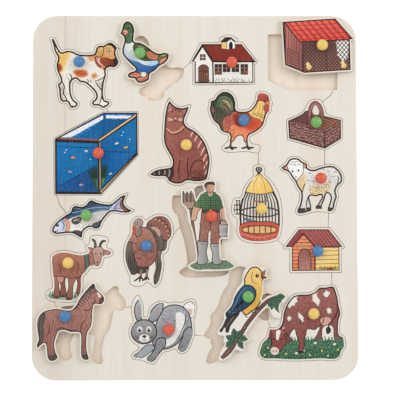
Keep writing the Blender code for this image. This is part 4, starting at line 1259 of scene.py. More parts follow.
@picture("#F8F2E8 0,-14 #CCC9C6 4,8", "#26262C", margin=1.15)
def fish(art):
    """A silver fish with a blue back, a salmon gill and a brown-edged tail."""
    art.fill(
        "-33,-10 -24,0 -15,5 -4,7.5 8,11 18,10.6 26,9.4 24,6.4 14,5.6 4,3 -8,0 -18,-3.6 -26,-9",
        "#2A4460 -10,6 #5E7C9A -6,-2",
    )
    art.strokes("-30,-6 -14,4 6,9 22,9 18,6 4,4 -14,-2 -26,-8", "#1E3554", 22, 1.6, 2.6, 0.4)
    art.dots("-15,-6 -2,0 12,3 22,4 14,-6 2,-11 -8,-14 -18,-14", "#5C544C", 2.3, 0.32, 0.75)
    art.dots("-12,-9 4,-4 14,-3 6,-9 -8,-13", "#22252C", 2.2, 0.45)
    art.strokes("-18,-12 -4,-11 6,-8 -4,-14 -16,-16", "#C6B8BC", 15, 2.2, 2.4, 0.35)
    art.fill("-36,-8 -27,-3 -22,-5 -20,-10 -22,-15.6 -30,-19.6 -37,-18", "#B9CBE6 -26,-5 #DDE3EC -30,-17")
    art.patch("-22.6,-3.4 -18,-4.4 -16.2,-8.6 -17,-13 -20.6,-15.8 -19.6,-11 -20,-7", "#E7A487", 0.4)
    art.line("-24.4,-4.6 -22,-9 -23.6,-15", 0.7)
    art.ring(-28.4, -9.4, 3.1, "#F4F4F2", 0.9)
    art.ring(-28.4, -9.4, 2.1, "#7F93AE", 0.9)
    art.ring(-28.6, -9.4, 1.2, "#191A20", sides=10)
    art.ring(-28.1, -8.9, 0.4, "#FFFFFF", sides=6)
    art.line("-36,-14.8 -31,-15.6 -27,-14.4", 0.8)
    art.line("-35,-17.2 -28,-18 -22,-17.6", 0.6, "#B97A6A")
    art.patch("-14.6,6.4 -12,11 -4,10.6 -2.6,8.8 -8,7.6", "#5C6E7C", 0.4)
    art.patch("0,9 3,15.4 9,14 20,11.6 12,11.4 6,10.6", "#4C5866", 0.4)
    for x in (-12, -9.4, -6.8):
        art.line([(x, 7), (x + 1.4, 10.4)], 0.4, "#20262E", 1)
    for x in (3, 5.6, 8.4, 11.4):
        art.line([(x, 10), (x + 2.4, 13.6)], 0.45, "#20262E", 1)
    art.patch("-14.6,-5.6 -9,-1.8 -5.4,-2.4 -6.4,-5.8 -10,-8.4", "#51444C", 0.4)
    for lean in (-0.6, 0.9, 2.4):
        art.line([(-13.6, -5.6), (-10, -4.6 + 0.5 * lean), (-6.4, -5 + lean)], 0.4, "#C9B7B4")
    art.patch("6,-9 12,-12.6 16,-10 21,-3 23,1.6 18,-2.6 12,-6", "#5A6068", 0.4)
    art.patch("-14,-16.6 -9,-19.4 -4,-23 -5.6,-15.6 -9,-14.6", "#544A50", 0.4)
    for x in (10, 13, 16):
        art.line([(x, -7 + (x - 10) * 0.9), (x + 1.4, -10.4 + (x - 10) * 0.8)], 0.4, "#20262E", 1)
    art.fill("22,4 26,10 34,16 42,24 38,14 37,10 44,7 50,4 40,0 30,2", "#C9C4E4 28,14 #E4DFEE 34,4")
    for end in ((37.6, 19), (36, 15), (35, 11), (36, 7.6), (41, 5.6)):
        art.line([(26, 6.6), ((26 + end[0]) / 2, (6.6 + end[1]) / 2 + 0.6), end], 0.5, "#6C6A8C")
    art.fill("42,24 34,15.6 32.6,10 35,6 48,4.6 49,8 38.6,9.6 37,12.6 40,17", "#6A4A44 38,20 #94584A 42,6")
    art.line("-32,-7.4 -20,1 -8,4.2 6,7.6 22,8.2", 0.5, "#A9C2E0")
    art.line("-14,-3 0,1.6 14,4.8 24,5.8", 0.55, "#5D6F8C")


@picture(None, "#3A2A28", margin=1.7, contour=None)
def turkey(art):
    """A turkey with a fan of a tail, grey wings and a bare grey head."""
    rim = "1,20.6 4.6,26.6 10,28.8 16,29 21,26.2 24.2,20.6 24.4,14 22.4,8.4 18,4.6 10,3 4,8"
    art.patch(rim, "#94645A", 0.8)
    for degrees in range(-24, 126, 15):
        angle = math.radians(degrees)
        cos, sin = math.cos(angle), math.sin(angle)
        art.ring(6.6 + 16 * cos, 8.4 + 19 * sin, 2.3, "#4A3430", 0.9, degrees, 10)
        art.ring(6.6 + 15.4 * cos, 8.4 + 18.3 * sin, 1.5, "#C58A74", 0.9, degrees, 10)
        art.line([(6.6 + 4 * cos, 8.4 + 4 * sin), (6.6 + 13.6 * cos, 8.4 + 16 * sin)], 0.6, "#5A302C")
        art.line([(7.6 + 4 * cos, 8.8 + 4 * sin), (8 + 12 * cos, 9 + 14 * sin)], 0.4, "#B97A68")
    art.patch("15.6,4.6 20.4,4.4 20,-0.6 15,-4.6 12.6,-2", "#6A5F56", 0.6)
    art.patch("1,19.6 7,19.4 12,15 15.4,8 16.4,0 14,-4 10,-1 6,6 2,12", "#6E645A", 0.6)
    art.fill("5,18.6 9.6,18.4 14,12 13,9 9.6,14", "#C9A090")
    for lift in (0, 3, 6, 9):
        art.line([(4 + 0.4 * lift, 17 - 1.2 * lift), (9, 13 - 1.1 * lift), (13.6, 7.6 - lift)], 0.5, "#2C2624")
    art.patch(
        "9,-3 13.6,-5 15.4,-13 15.4,-24 12.4,-33 9.2,-37.6 7.8,-32 9.8,-22 9,-12", "#86766E 12,-6 #5C524A 11,-34",
        0.7,
    )
    for side in (10.6, 12.2, 13.8):
        art.line([(side, -8), (side + 0.4, -20), (side - 1.6, -31)], 0.5, "#2C2624")
    art.patch("-8,-17 2,-19 1.6,-24 -1,-26 -6,-27 -12,-25 -12,-20", "#4A3E3A", 0.4)
    for foot, toe in ((-5.4, -9.6), (0.4, -1.6)):
        art.line([(foot + 0.6, -23), (foot - 0.2, -30.4)], 2.4, None, 1)
        art.line([(foot + 0.6, -23), (foot - 0.2, -30.4)], 1.3, "#A98A80", 1)
        art.line([(foot, -30), (toe - 2.4, -34.6)], 1.5, None, 0.5)
        art.line([(foot, -30), (foot - 1.4, -35.4)], 1.5, None, 0.5)
        art.line([(foot, -30), (foot + 2.4, -33.6)], 1.4, None, 0.5)
    body = "-18.6,5 -13,12.6 -7,17.4 0,17.6 6,12 9.6,4 10.4,-6 7.6,-14.6 2,-19.6 -6,-20 -13,-16 -17.6,-7"
    art.patch(body, "#B88274 -8,12 #9E665A 2,-18", 0.8)
    art.strokes(body, "#6E3C34", -60, 1.8, 2.6, 0.36)
    art.strokes(body, "#C98C7C", -50, 3, 2.2, 0.38)
    for x, y in ((-12, 3), (-7, -3), (-12, -6), (-2, -9), (-7, -12), (3, -12), (6, -5)):
        art.line("-2.4,1.4 0,-1 2.6,0.8", 0.6, "#5A2C26", at=(x, y))
    art.patch(
        "-18.8,1 -16,4 -14.4,-4 -11,-14 -9.4,-22 -11,-27.4 -15.4,-27 -18.6,-20 -20,-9",
        "#786C64 -16,0 #524942 -13,-26", 0.7,
    )
    for x in (-18, -16.2, -14.4, -12.6):
        art.line([(x + 1.2, -4), (x + 0.6, -14), (x + 1.6, -25)], 0.5, "#211D1C")
    art.patch(
        "-9.4,9.6 -11.4,14.6 -13.4,13.6 -13.8,18.6 -12.4,24.4 -8.6,26.8 -5,25.8 -3.6,22.4 -5.6,18.4 -5,12.6",
        "#B49A92 -9,26 #94786E -7,10", 0.7,
    )
    art.fill("-13.4,19.6 -10.6,19 -10,14 -12,10.6 -13.6,13", "#B5574A")
    art.fill("-13.8,22 -16.4,20 -13,19.4", "#D9A24A")
    art.ring(-9.8, 22.4, 1.5, "#5A4A48", sides=10)
    art.ring(-9.9, 22.5, 0.8, "#F0E6D8", sides=8)
    art.ring(-9.9, 22.5, 0.45, "#161210", sides=6)
    art.line("-8,13 -6.6,17 -5.6,20", 0.5)


@picture(None, "#33302A", margin=1.3, contour=None)
def farmer(art):
    """A farmer with a fork and a pail, on grass. Their face is a plain, calm one."""
    art.patch(
        "-21,-47.4 -15,-44.6 -7,-46.4 0,-44.8 6,-43.6 12.6,-42.4 18,-45 22,-48.8 18,-50.8 -4,-51.4 -18,-50.6",
        "#6E8468", 0.3, "#35543C",
    )
    art.strokes("-20,-45 14,-42 21,-49 -19,-50.6", "#3A5540", 80, 1.5, 2.6, 0.42, 20)
    art.strokes("-20,-45 14,-42 21,-49 -19,-50.6", "#9CB08E", 85, 2.2, 2.2, 0.4, 20)
    art.line("-20.6,9 -17.4,-14 -13,-45.4", 2.9, None, 1)
    art.line("-20.6,9 -17.4,-14 -13,-45.4", 1.6, "#8C6654", 1)
    art.patch("-27.4,15.4 -26.4,10.6 -22.4,8 -18,9.2 -16.4,12.6 -16.2,15.8", "#AE9080", 0.7)
    art.fill("-28,14! -16,14! -16,22 -18.2,23.6 -20.2,21.4 -22.2,23.4 -24,21.4 -26,23.4 -28,22", "#97816F")
    for x in (-27.6, -23.9, -20.2, -16.4):
        art.line([(x, 14), (x - 0.2, 20), (x + 0.3, 25.4)], 1.7, None, 0.5)
        art.line([(x, 15), (x - 0.1, 23)], 0.4, "#8E7E72", 0.6)
    art.patch(
        "-12.2,-23.6 -4.8,-23.6 -5.6,-34 -5.4,-45.6 -12.6,-46.4 -12.6,-36", "#BEBCBA -16,-30 #8A8888 -2,-30", 0.8
    )
    art.patch("0.2,-26.2 7,-26.2 7.8,-36 9.4,-45.6 2.6,-46.2 1.4,-36", "#BEBCBA -3,-30 #8A8888 12,-30", 0.8)
    art.line("-11.4,-27 -6,-27 / 1,-29.4 7,-29.4", 0.5, "#5C5F68")
    art.patch(
        "-9,6.4! 7,6.4! 8.8,-8 7.8,-26.4! -0.2,-26.4! -1.6,-13 -4.2,-24! -12,-24! -10.4,-8",
        "#B4806F -8,2 #A06C60 6,-20", 0.8,
    )
    art.strokes("-9,4 7,4 7,-25 -1,-24 -2,-10 -5,-23 -11,-23", "#6A3C38", 82, 1.8, 3, 0.4, 8)
    art.line("-1,-1 -1.6,-13", 0.8)
    art.patch(
        "-15.4,11 -11,11.6 -14,3.4 -16.6,-3.6 -19.4,-3.8 -19.4,0.4 / 8.6,9.4 12.4,9 13.6,1.4 14.4,-5.4 11.6,-5.8"
        " 10.4,1",
        "#D8A98E", 0.7,
    )
    art.patch(
        "-10,21.6 -4,23.8 2,23.8 7,21.6 11.2,16 12.8,9.4 8.6,8 7.6,5.4 -9,5.4 -9.2,9.6 -11.4,9.4 -15.6,10.4"
        " -13.6,17",
        "#668A60 -10,18 #4E6A50 8,8", 0.8,
    )
    art.rows("-10,21 -4,23 2,23 7,21 11,15.6 8,8 7,6 -9,6 -13,11", "#24472F", 90, 2.4, 0.38)
    art.rows("-10,21 -4,23 2,23 7,21 11,15.6 8,8 7,6 -9,6 -13,11", "#24472F", 0, 2.4, 0.38)
    art.line("-3.6,24.4 -1,20.6 1.6,24.4", 1, "#E9E2D4", 0.6)
    art.line("-1,20.6 -1,6", 0.6, "#1C3826", 1)
    art.patch("-9,6.8! 7,6.8! 7.2,4.8! -9,4.8!", "#5A4034", 0.3)
    art.fill("-1.8,6.8! 0.2,6.8! 0.2,4.8! -1.8,4.8!", "#D9B45A")
    art.patch("-2.9,25.4 0.9,25.4 1,22.6 -3,22.6", "#C9997E", 0.3)
    art.patch(
        "-6.2,30.4 -5.4,26.6 -2.8,24.4 0.2,24.6 2.2,27 2.6,31 0.6,33 -4.4,33", "#A88270 -6,28 #D9AC92 0.6,28", 0.6
    )
    art.fill(
        "-6.6,27.2 -7.2,30 -7,33 -3.4,35 1,34.8 3.4,32.6 3.4,28.8 2.2,30.8 -0.6,31.4 -4.2,30.8 -5.2,28", "#47332B"
    )
    art.ring(-3.5, 29.6, 0.4, "#2A1E18", sides=6)
    art.ring(-0.1, 29.6, 0.4, "#2A1E18", sides=6)
    art.line("-1.7,29 -1.6,28.1", 0.3, "#A9745C", 1)
    art.line("-2.8,26.6 -1.7,26.3 -0.6,26.6", 0.35, "#8C4A3C", 1)
    art.patch("7.4,-7.8! 15.4,-7.8! 14.8,-19.8! 8.2,-19.8!", "#B6B8C2 8,-14 #888B98 15,-14", 0.7)
    art.line("7.6,-10.2 15.2,-10.2", 1.1, "#D9B878", 1)
    art.line("7.8,-17.4 15,-17.4", 0.9, "#D9B878", 1)
    art.line("7.6,-8 9,-4.4 13.6,-4.2 15.2,-8", 0.8)


@picture("#EFE8DC", "#37322F", margin=1.9, contour=None)
def birdcage(art):
    """An empty birdcage with a yellow dome, a hoop round its bars and a red base."""
    art.fill(
        "-30,12! -21,12! -22,-8! -30,-8! / -30,10! -19.4,10 -18.4,16 -14,26 -5,34 -6,44! -30,44! / 30,10! 16.8,8"
        " 14.4,18 8,28 0.4,34 1,44! 30,44! / -10,46! 6,46! 4,34.8! -7.6,34.8!",
        None,
    )
    art.ring(-2.4, 39.2, 3.4, "#37322F")
    art.ring(-2.4, 39.2, 1.9, "#B9B4AE")
    art.ring(-2.4, 39.2, 1.2, "#37322F")
    art.line("-2.4,36.6 -2.4,33.4", 2.6, "#37322F", 1)
    for share in np.linspace(-1, 1, 13):
        bulge = 18.6 * share
        art.line(
            [(-2 + 12.6 * share, 17), (-2 + 0.9 * bulge, 9), (-2 + bulge, -2), (-2 + bulge, -16)], 1, "#37302C", 1
        )
        art.line(
            [(-1.1 + 12.6 * share, 16), (-1.1 + 0.9 * bulge, 8), (-1.1 + bulge, -2), (-1.1 + bulge, -15)], 0.35,
            "#B9B2AA", 1,
        )
    art.line("-15,17.6 -19,8 -20.6,-2 -20.6,-16 / 11.4,17.6 15.4,8 17,-2 17,-16", 1.8, "#37322F", 1)
    turn = np.linspace(0, 2 * np.pi, 25)
    art.line(np.column_stack([-2 + 18.8 * np.cos(turn), -3 + 4.8 * np.sin(turn)]), 1.2, "#37322F", 1)
    art.line("-17,-9.4 -8,-12 2.6,-14.8", 2.4, "#37322F", 0.8)
    art.line("-16.6,-9.4 -8,-11.9 2.2,-14.5", 1.3, "#7480A0", 0.8)
    art.line("-6.6,17 -6.8,8.4 / 4.4,17 4.8,8.4", 0.6, "#37322F", 1)
    art.line("-8,8 -1,7.4 6,8", 1.4, "#9A6A4A", 0.8)
    base = (
        "-21.6,-17 -16,-13.8 -2,-12.8 12.4,-13.8 17.8,-17 17.8,-24 14,-28.2 6,-30.6 -2,-31 -10,-30.6 -18,-28.2"
        " -21.6,-24"
    )
    art.patch(base, "#CA5A48 -2,-14 #D2634E -2,-30", 0.8, "#4A2A28")
    art.strokes("-20,-25 17,-25 12,-30 -14,-30", "#7E2A26", 4, 1.9, 3, 0.4, 8)
    art.patch("-18.4,-20.4 -12,-17.8 -2,-17 8,-17.8 14.4,-20.4 8,-23 -2,-23.8 -12,-23", "#E9BF7E", 0.9, "#4A2A28")
    art.dots("-16,-20.4 -2,-17.6 12,-20.4 -2,-23", "#A9743A", 1.6, 0.35)
    for x in (-13, -7.4, -1.8, 3.8, 9.2):
        art.line([(x, -16), (x, -23.6)], 0.8, "#4A2A28", 1)
    art.line("-21.2,-24.4 -2,-28 17.4,-24.4", 0.5, "#F0A090", 0.4)
    dome = "-2.3,34.4 -6.6,31 -11.6,24.6 -15.4,17.6! -9,15.8 -2,15.2 5,15.8 11.6,17.6! 8,24.6 2.4,31"
    art.patch(dome, "#FDDF90 -6,30 #F7CA6A 4,16", 0.8)
    art.strokes(dome, "#CF9A3C", 70, 2.3, 2.6, 0.35, 30, 0.6)
    art.line("-2.3,34 -6.4,26 -8,16.6 / -2.3,34 2.4,26 4,16.6", 0.5, "#B9842C")
    for x in (-27.2, -24.2, -21.6):
        art.line([(x, 8.4), (x + 0.2, -5.4)], 1, "#37322F", 1)
    for y in (8.2, 3.8, -0.8, -5.2):
        art.line([(-27.6, y), (-21, y + 0.6)], 1, "#37322F", 1)


@picture("#F5F2EC 0,12 #DEDAD5 8,-26", "#332E2B", margin=1.35)
def sheep(art):
    """A white lamb with cream wool under its belly and dark hooves."""
    art.strokes("-14,8 18,12 20,-4 14,-28 -14,-12", "#B9B8B8", -20, 2.2, 2, 0.4, 60)
    art.strokes("6,10 19,8 21,-2 15,-10 8,0", "#A4A6AA", -60, 2.2, 2.6, 0.35, 30, 0.6)
    for x, y in ((-11, 5), (-7, -3), (8, 7), (12, 2), (9, -4), (15, 6), (-12, -2), (3, 8.6)):
        art.line("-1.5,-0.5 -0.4,0.9 0.9,-0.2 1.8,0.8", 0.55, "#8E8A88", at=(x, y))
    art.fill("-24,0 -19,7 -15,4 -15,-4 -18,-14 -23,-10", "#EFD9AC")
    art.strokes("-24,0 -19,6 -16,2 -17,-12 -22,-9", "#C79B54", -70, 1.6, 2.4, 0.4, 25)
    art.fill("-11,-9 -6,-7 0,-8 5,-6 9,-4 9,-10 6,-14 -2,-17 -11,-16", "#EEDCB6")
    art.strokes("-11,-8 0,-7 8,-5 8,-12 -2,-16 -10,-15", "#A97B3A", 20, 1.5, 2.6, 0.5, 45)
    art.line("-15,-4 -17.4,-10 -18,-14", 0.8)
    art.line("-12.2,-17 -13.6,-22 -14.4,-29", 0.9)
    art.line("17,3 17.6,-1 16,-5.4", 0.8)
    art.patch(
        "-41,10.6! -34,16.6 -30.6,13.6 -31,10.4 -34,7.2 / -20,17 -16.6,18.4 -11.4,14.8 -16,10.6 -20,11.6",
        "#D9A987", 0.5,
    )
    art.patch(
        "-31.6,9.6 -33.4,15.6 -28,21 -22.6,21.6 -18,16.6 -17.4,10.6 -18,5 -22.4,0 -25.4,-2.8 -29.6,4.4", "#FCFBF7",
        0.6,
    )
    for x, y in ((-29.4, 13.4), (-27, 15.6), (-23.6, 16), (-21, 13.4), (-25.4, 13)):
        art.line("-1.4,-0.6 -0.9,0.8 0.6,1 1.3,-0.4", 0.55, "#8E8A88", at=(x, y))
    art.outline()
    art.hole(
        "-10.2,-17 -5,-17.6 1,-17 -1,-22 -3.6,-27 -4.4,-36! -9.6,-36! -9.4,-28 / 7,-14.6 9.6,-18 9,-23 7,-29"
        " 6.4,-36! 1.4,-36! 0.8,-28 3.6,-21",
        1.4,
    )
    art.fill("-4.6,-30! 1,-30! 1,-37! -4.6,-37!", None)
    art.fill(
        "-24,-29.4! -15.4,-29! -14.6,-32.6! -24,-37! / -14.8,-28.6! -10.2,-28.4! -9.8,-31.6! -14.2,-32! /"
        " -4.8,-26.4! 0.6,-26.4! 1.4,-29.8! -5.4,-29.8! / 7,-28.4! 12.8,-28.6! 13.6,-33! 6.4,-33!",
        "#4A3F3C",
    )
    art.ring(-27.6, 7.2, 0.95, "#2A2422", 1.2, sides=8)
    art.ring(-21.8, 8, 0.95, "#2A2422", 1.2, sides=8)
    art.line("-25.6,2.2 -24.4,1.4 -23,2.4", 0.7)
    art.line("-24.4,1.4 -24.4,0", 0.45)


@picture(None, "#37231F", margin=1.7, contour=None)
def goat(art):
    """A brown goat with dark horns, a grey collar and grass under its hooves."""
    art.patch(
        "-20,-32.4 -15,-31 -8,-32 0,-33 6,-31.6 10.6,-30.6 10,-35 2,-36.2 -8,-35.8 -18,-34.6", "#A9B8A0", 0.2,
        "#6E8A72",
    )
    for x in np.arange(-19.5, 10.5, 1.7):
        lean = 1.6 * math.sin(2.3 * x)
        art.line(
            [(x, -34.6), (x + 0.4 * lean, -31.4), (x + lean, -27.6 + 1.4 * math.sin(3.1 * x))], 1, "#47664F", 0.15
        )
    art.patch(
        "-9.4,-11 -4.4,-11 -3.6,-20 -3.4,-32.6 -6.8,-32.6 -6.8,-22 / 9,-11 13,-10 12.8,-20 12,-30.4 9.4,-30.4"
        " 9.6,-20",
        "#8A5448", 0.6,
    )
    art.patch(
        "-14.2,-8 -9,-10 -9.8,-20 -9.6,-33.8 -12.8,-33.8 -12.6,-22 / 2,-12 6.6,-12 4.4,-22 2.4,-35.4 -1,-35.4"
        " 0.8,-24",
        "#AC7463 0,-12 #925E51 0,-30", 0.7,
    )
    for x, y in ((-11.2, -32.6), (0.8, -34), (-5.2, -31.6), (10.8, -29.4)):
        art.fill([(x - 1.9, y + 0.2), (x + 1.9, y + 0.2), (x + 1.9, y - 1.8), (x - 1.9, y - 1.8)], "#4A3834")
    art.patch("-10.4,-12 -5,-13 -5,-17.6 -8,-19.2 -10.6,-17", "#C98F84", 0.5)
    body = (
        "-15,3 -14,8 -9.6,9.8 -2,10.6 6,8.8 14,8 20,8.8 25.4,12.4 27,6 25.4,0 20,-5.4 14.6,-11 8,-14 0,-14.4"
        " -7,-12.6 -13.6,-12 -15.4,-5"
    )
    art.patch(body, "#B67E6A 0,8 #9C6655 2,-13", 0.6)
    art.strokes(body, "#7A463C", -25, 2, 2.8, 0.36, 18)
    art.strokes(body, "#C48478", -20, 3, 2.4, 0.38, 18)
    art.line("-15.4,7 -14,10.4 -12.4,8.6", 1.4)
    art.fill("16.6,8.2 19.6,8.6 20.8,2 19.6,-5 16.8,-7.6 16.4,0", "#5F6A5E")
    art.line("16.2,8 16.4,0 16.8,-8 / 19.6,8.4 20.6,1 19.8,-5.4", 0.6)
    art.ring(18.8, -7.4, 1.6, "#D9B45A", sides=10)
    art.line("8.4,-10 10,-4 9,1 / -8,-11 -7.4,-5 -10,0", 0.7, "#5A2C28")
    art.line("25.2,13.6 26.6,18 25.4,22 22.8,23.6 / 31.2,14 31.6,18.6 34,21.6 37,21.6", 2.5, "#4E4440", 0.5)
    for x in (25.6, 26.2):
        art.line([(x - 0.8, 17 + (x - 25.6) * 5), (x + 1.2, 17.4 + (x - 25.6) * 5)], 0.35, "#A09890", 1)
    art.patch(
        "24.6,12.4 20,15 18.6,14.4 19.4,11.6 22.6,10.4 / 34,11.6 38,12.4 41.6,10.8 39.4,8.6 35,8.8", "#B98478", 0.6
    )
    art.patch(
        "24.4,13.6 28,15.6 32,15.4 34.4,12 33.8,7 31.4,1.6 30.4,-1.6 27.4,-2.2 25.8,0.6 25,6",
        "#CDA79C 28,15 #B58A80 28,0", 0.7,
    )
    art.strokes("25,13 33,13 31,3 27,3", "#8A5A52", 80, 1.9, 2, 0.35)
    art.ring(26.8, 9.6, 0.8, "#1E1412", sides=8)
    art.ring(31.8, 9.4, 0.8, "#1E1412", sides=8)
    art.line("27.4,1.4 28.8,0.8 30.2,1.6", 0.6)
    art.line("28.8,0.8 28.6,-1.4", 0.45)


@picture("#F0CB7C", "#3E2425", margin=1.5, contour=0.9)
def kennel(art):
    """A dog's house of orange and yellow boards under a dark red roof."""
    side = "-2.4,6! 24,6! 24,-19! -2.4,-19!"
    art.fill(side, "#FFE4A2 0,4 #F6D078 20,-16")
    art.rows(side, "#84602A", 1.5, 4.2, 0.5, 0.05)
    art.strokes(side, "#CFA252", 2, 2.4, 3.4, 0.3, 6, 0.6)
    front = "-25,6! -14,18! -2.4,5.6! -2.4,-19.6! -25,-19.6!"
    art.fill("-27,7! 10,7! 10,-22! -27,-22!", "#E4845A", as_loop(front))
    art.fill(front, "#F2A27C -20,12 #E48258 -6,-16")
    art.rows(front, "#A5482F", 0.5, 3.5, 0.75, 0.06)
    art.strokes(front, "#B95C3C", 0, 2, 3, 0.35, 6, 0.7)
    art.line("-2.4,5.4! -2.4,-20!", 1.2, None, 1)
    art.patch(
        "-18,-20! -18,-5 -17,-0.6 -14,1.8 -11,1.8 -8.2,-0.6 -7.2,-5 -7.2,-20!", "#A0665C -14,0 #BC857A -12,-18", 0.9
    )
    art.strokes("-17.6,-4 -12.6,1 -7.6,-4 -7.6,-19 -17.6,-19", "#74504C", 85, 1.9, 2.8, 0.4, 10)
    art.fill("-17,3.6! -8.2,3.6! -8.2,6.6! -17,6.6!", "#C9A06A")
    art.line("-17,5.1 -12.6,5.3 -8.4,5.1", 0.4, "#7A5230")
    roof = "-15,21.4! 10.6,21.4! 24,4.6! 0.8,4.6! -13,20!"
    art.fill("-36,4.4! -17,24! 12,24! 28,4.4! -2.6,4.4! -13.8,17.4! -24.8,4.4!", "#AA5452")
    art.rows(roof, "#54222A", 58, 1.9, 0.5, 0.08)
    art.rows(roof, "#D08C84", -52, 2.6, 0.32, 0.12)
    left = "-30,5! -17,20.6! -14.4,18! -26,5!"
    art.rows(left, "#5C262E", -50, 1.9, 0.55, 0.08)
    art.line("-33,3.8! -26,4!", 1.2, None, 1)
    art.line("-25.4,4! -13.8,17.6! -1.8,4!", 1.4, "#5C262E", 1)
    art.line("-2,4.4! 26,4.4!", 1.3, "#4E262A", 1)
    art.outline()
    for x in np.arange(2, 19, 1.5):
        art.line([(x, -18.6), (x + 0.5 * math.sin(4 * x), -17), (x + math.sin(3 * x), -14.6)], 0.8, "#6A6A2E", 0.2)
    art.ring(12, -17.4, 2.8, "#5A2A20", 0.5)
    art.ring(12, -17.1, 2.1, "#B5422F", 0.45)


@picture("#B07D73 0,6 #9B675F 0,-24", "#2F211F", margin=1.2, contour=0.85)
def horse(art):
    """A bay horse with a dark mane, tail and hooves."""
    art.strokes(
        "-20,7 8,8 16,22 34,28 38,16 28,8 26,-14 22,-36 16,-36 14,-14 -6,-14 -10,-36 -18,-36 -20,-6", "#74463E",
        -80, 2, 3, 0.4, 14,
    )
    art.strokes("-16,5 8,5 20,20 26,6 22,-8 4,-10 -14,-6", "#C89084", -30, 3, 2.6, 0.4, 20)
    art.fill("-30,4 -20.6,5 -19.4,0 -21,-8 -20.4,-18 -23,-26 -29,-34", "#4E4340")
    for x in (-26.6, -24.4, -22.4):
        art.line([(x + 3.6, 3), (x + 0.4, -6), (x + 0.6, -18), (x - 2.4, -28)], 0.5, "#7A706A")
    art.fill("4,6.6 9,6.8 14,14 20,21.6 26,26.4 30,30 27,35 20,30 10,18 5,10", "#4E4340")
    for share in np.linspace(0.05, 0.95, 9):
        x, y = 7.4 + 18 * share, 9 + 19 * share
        art.line("0,0 3.2,-0.6 5.4,-3.4", 0.9, "#4E4340", 0.2, at=(x, y))
        art.line("-1,0.6 1.6,-0.4", 0.4, "#7A706A", 0.2, at=(x, y))
    art.fill("-22,-38.2 -6,-37.6 -2,-46 -22,-46 / 13,-37 26,-37 26,-45 13,-45", "#5A4840")
    art.line("-16.6,-37.4 -11,-36.8 / 16,-36.2 20.4,-36", 0.5, "#A89890")
    art.line("-18.8,-20 -15.6,-14 -16,-6", 0.8, "#4E2420")
    art.line("-9,-13.4 -5,-11 2,-12.6 12,-13.8", 1, "#5A2C28")
    art.line("14.8,-15 16,-8 20,-3", 0.8, "#4E2420")
    art.line("22,-14 20.8,-24 20.6,-33 / -12.6,-15 -12.8,-26 -13.6,-34", 0.5, "#C08074")
    art.line("25.8,9 22,6 18,6.6", 0.7, "#4E2420")
    art.fill("33,12 39,13 40,20 36,22 33.6,17", "#7A4742")
    art.ring(36, 17.2, 0.75, "#241614", sides=8)
    art.line("33,13.4 36,13.8 38,14.6", 0.5)
    art.ring(29.4, 21.8, 1.15, "#F0E4D4", 0.7, sides=10)
    art.ring(29.4, 21.8, 0.75, "#1E1412", sides=8)
    art.line("27.4,23.4 29.4,24 31.4,23", 0.5)
    art.line("26.4,12 29,15.4 28.6,19", 0.7, "#4E2420")
    art.line("27,28 28,31 28.6,27.6", 0.6, "#1E1412")
    art.fill("31.4,25 33.2,22.6 35,19 33.8,18.6 31.4,22.4", "#EADCCB")


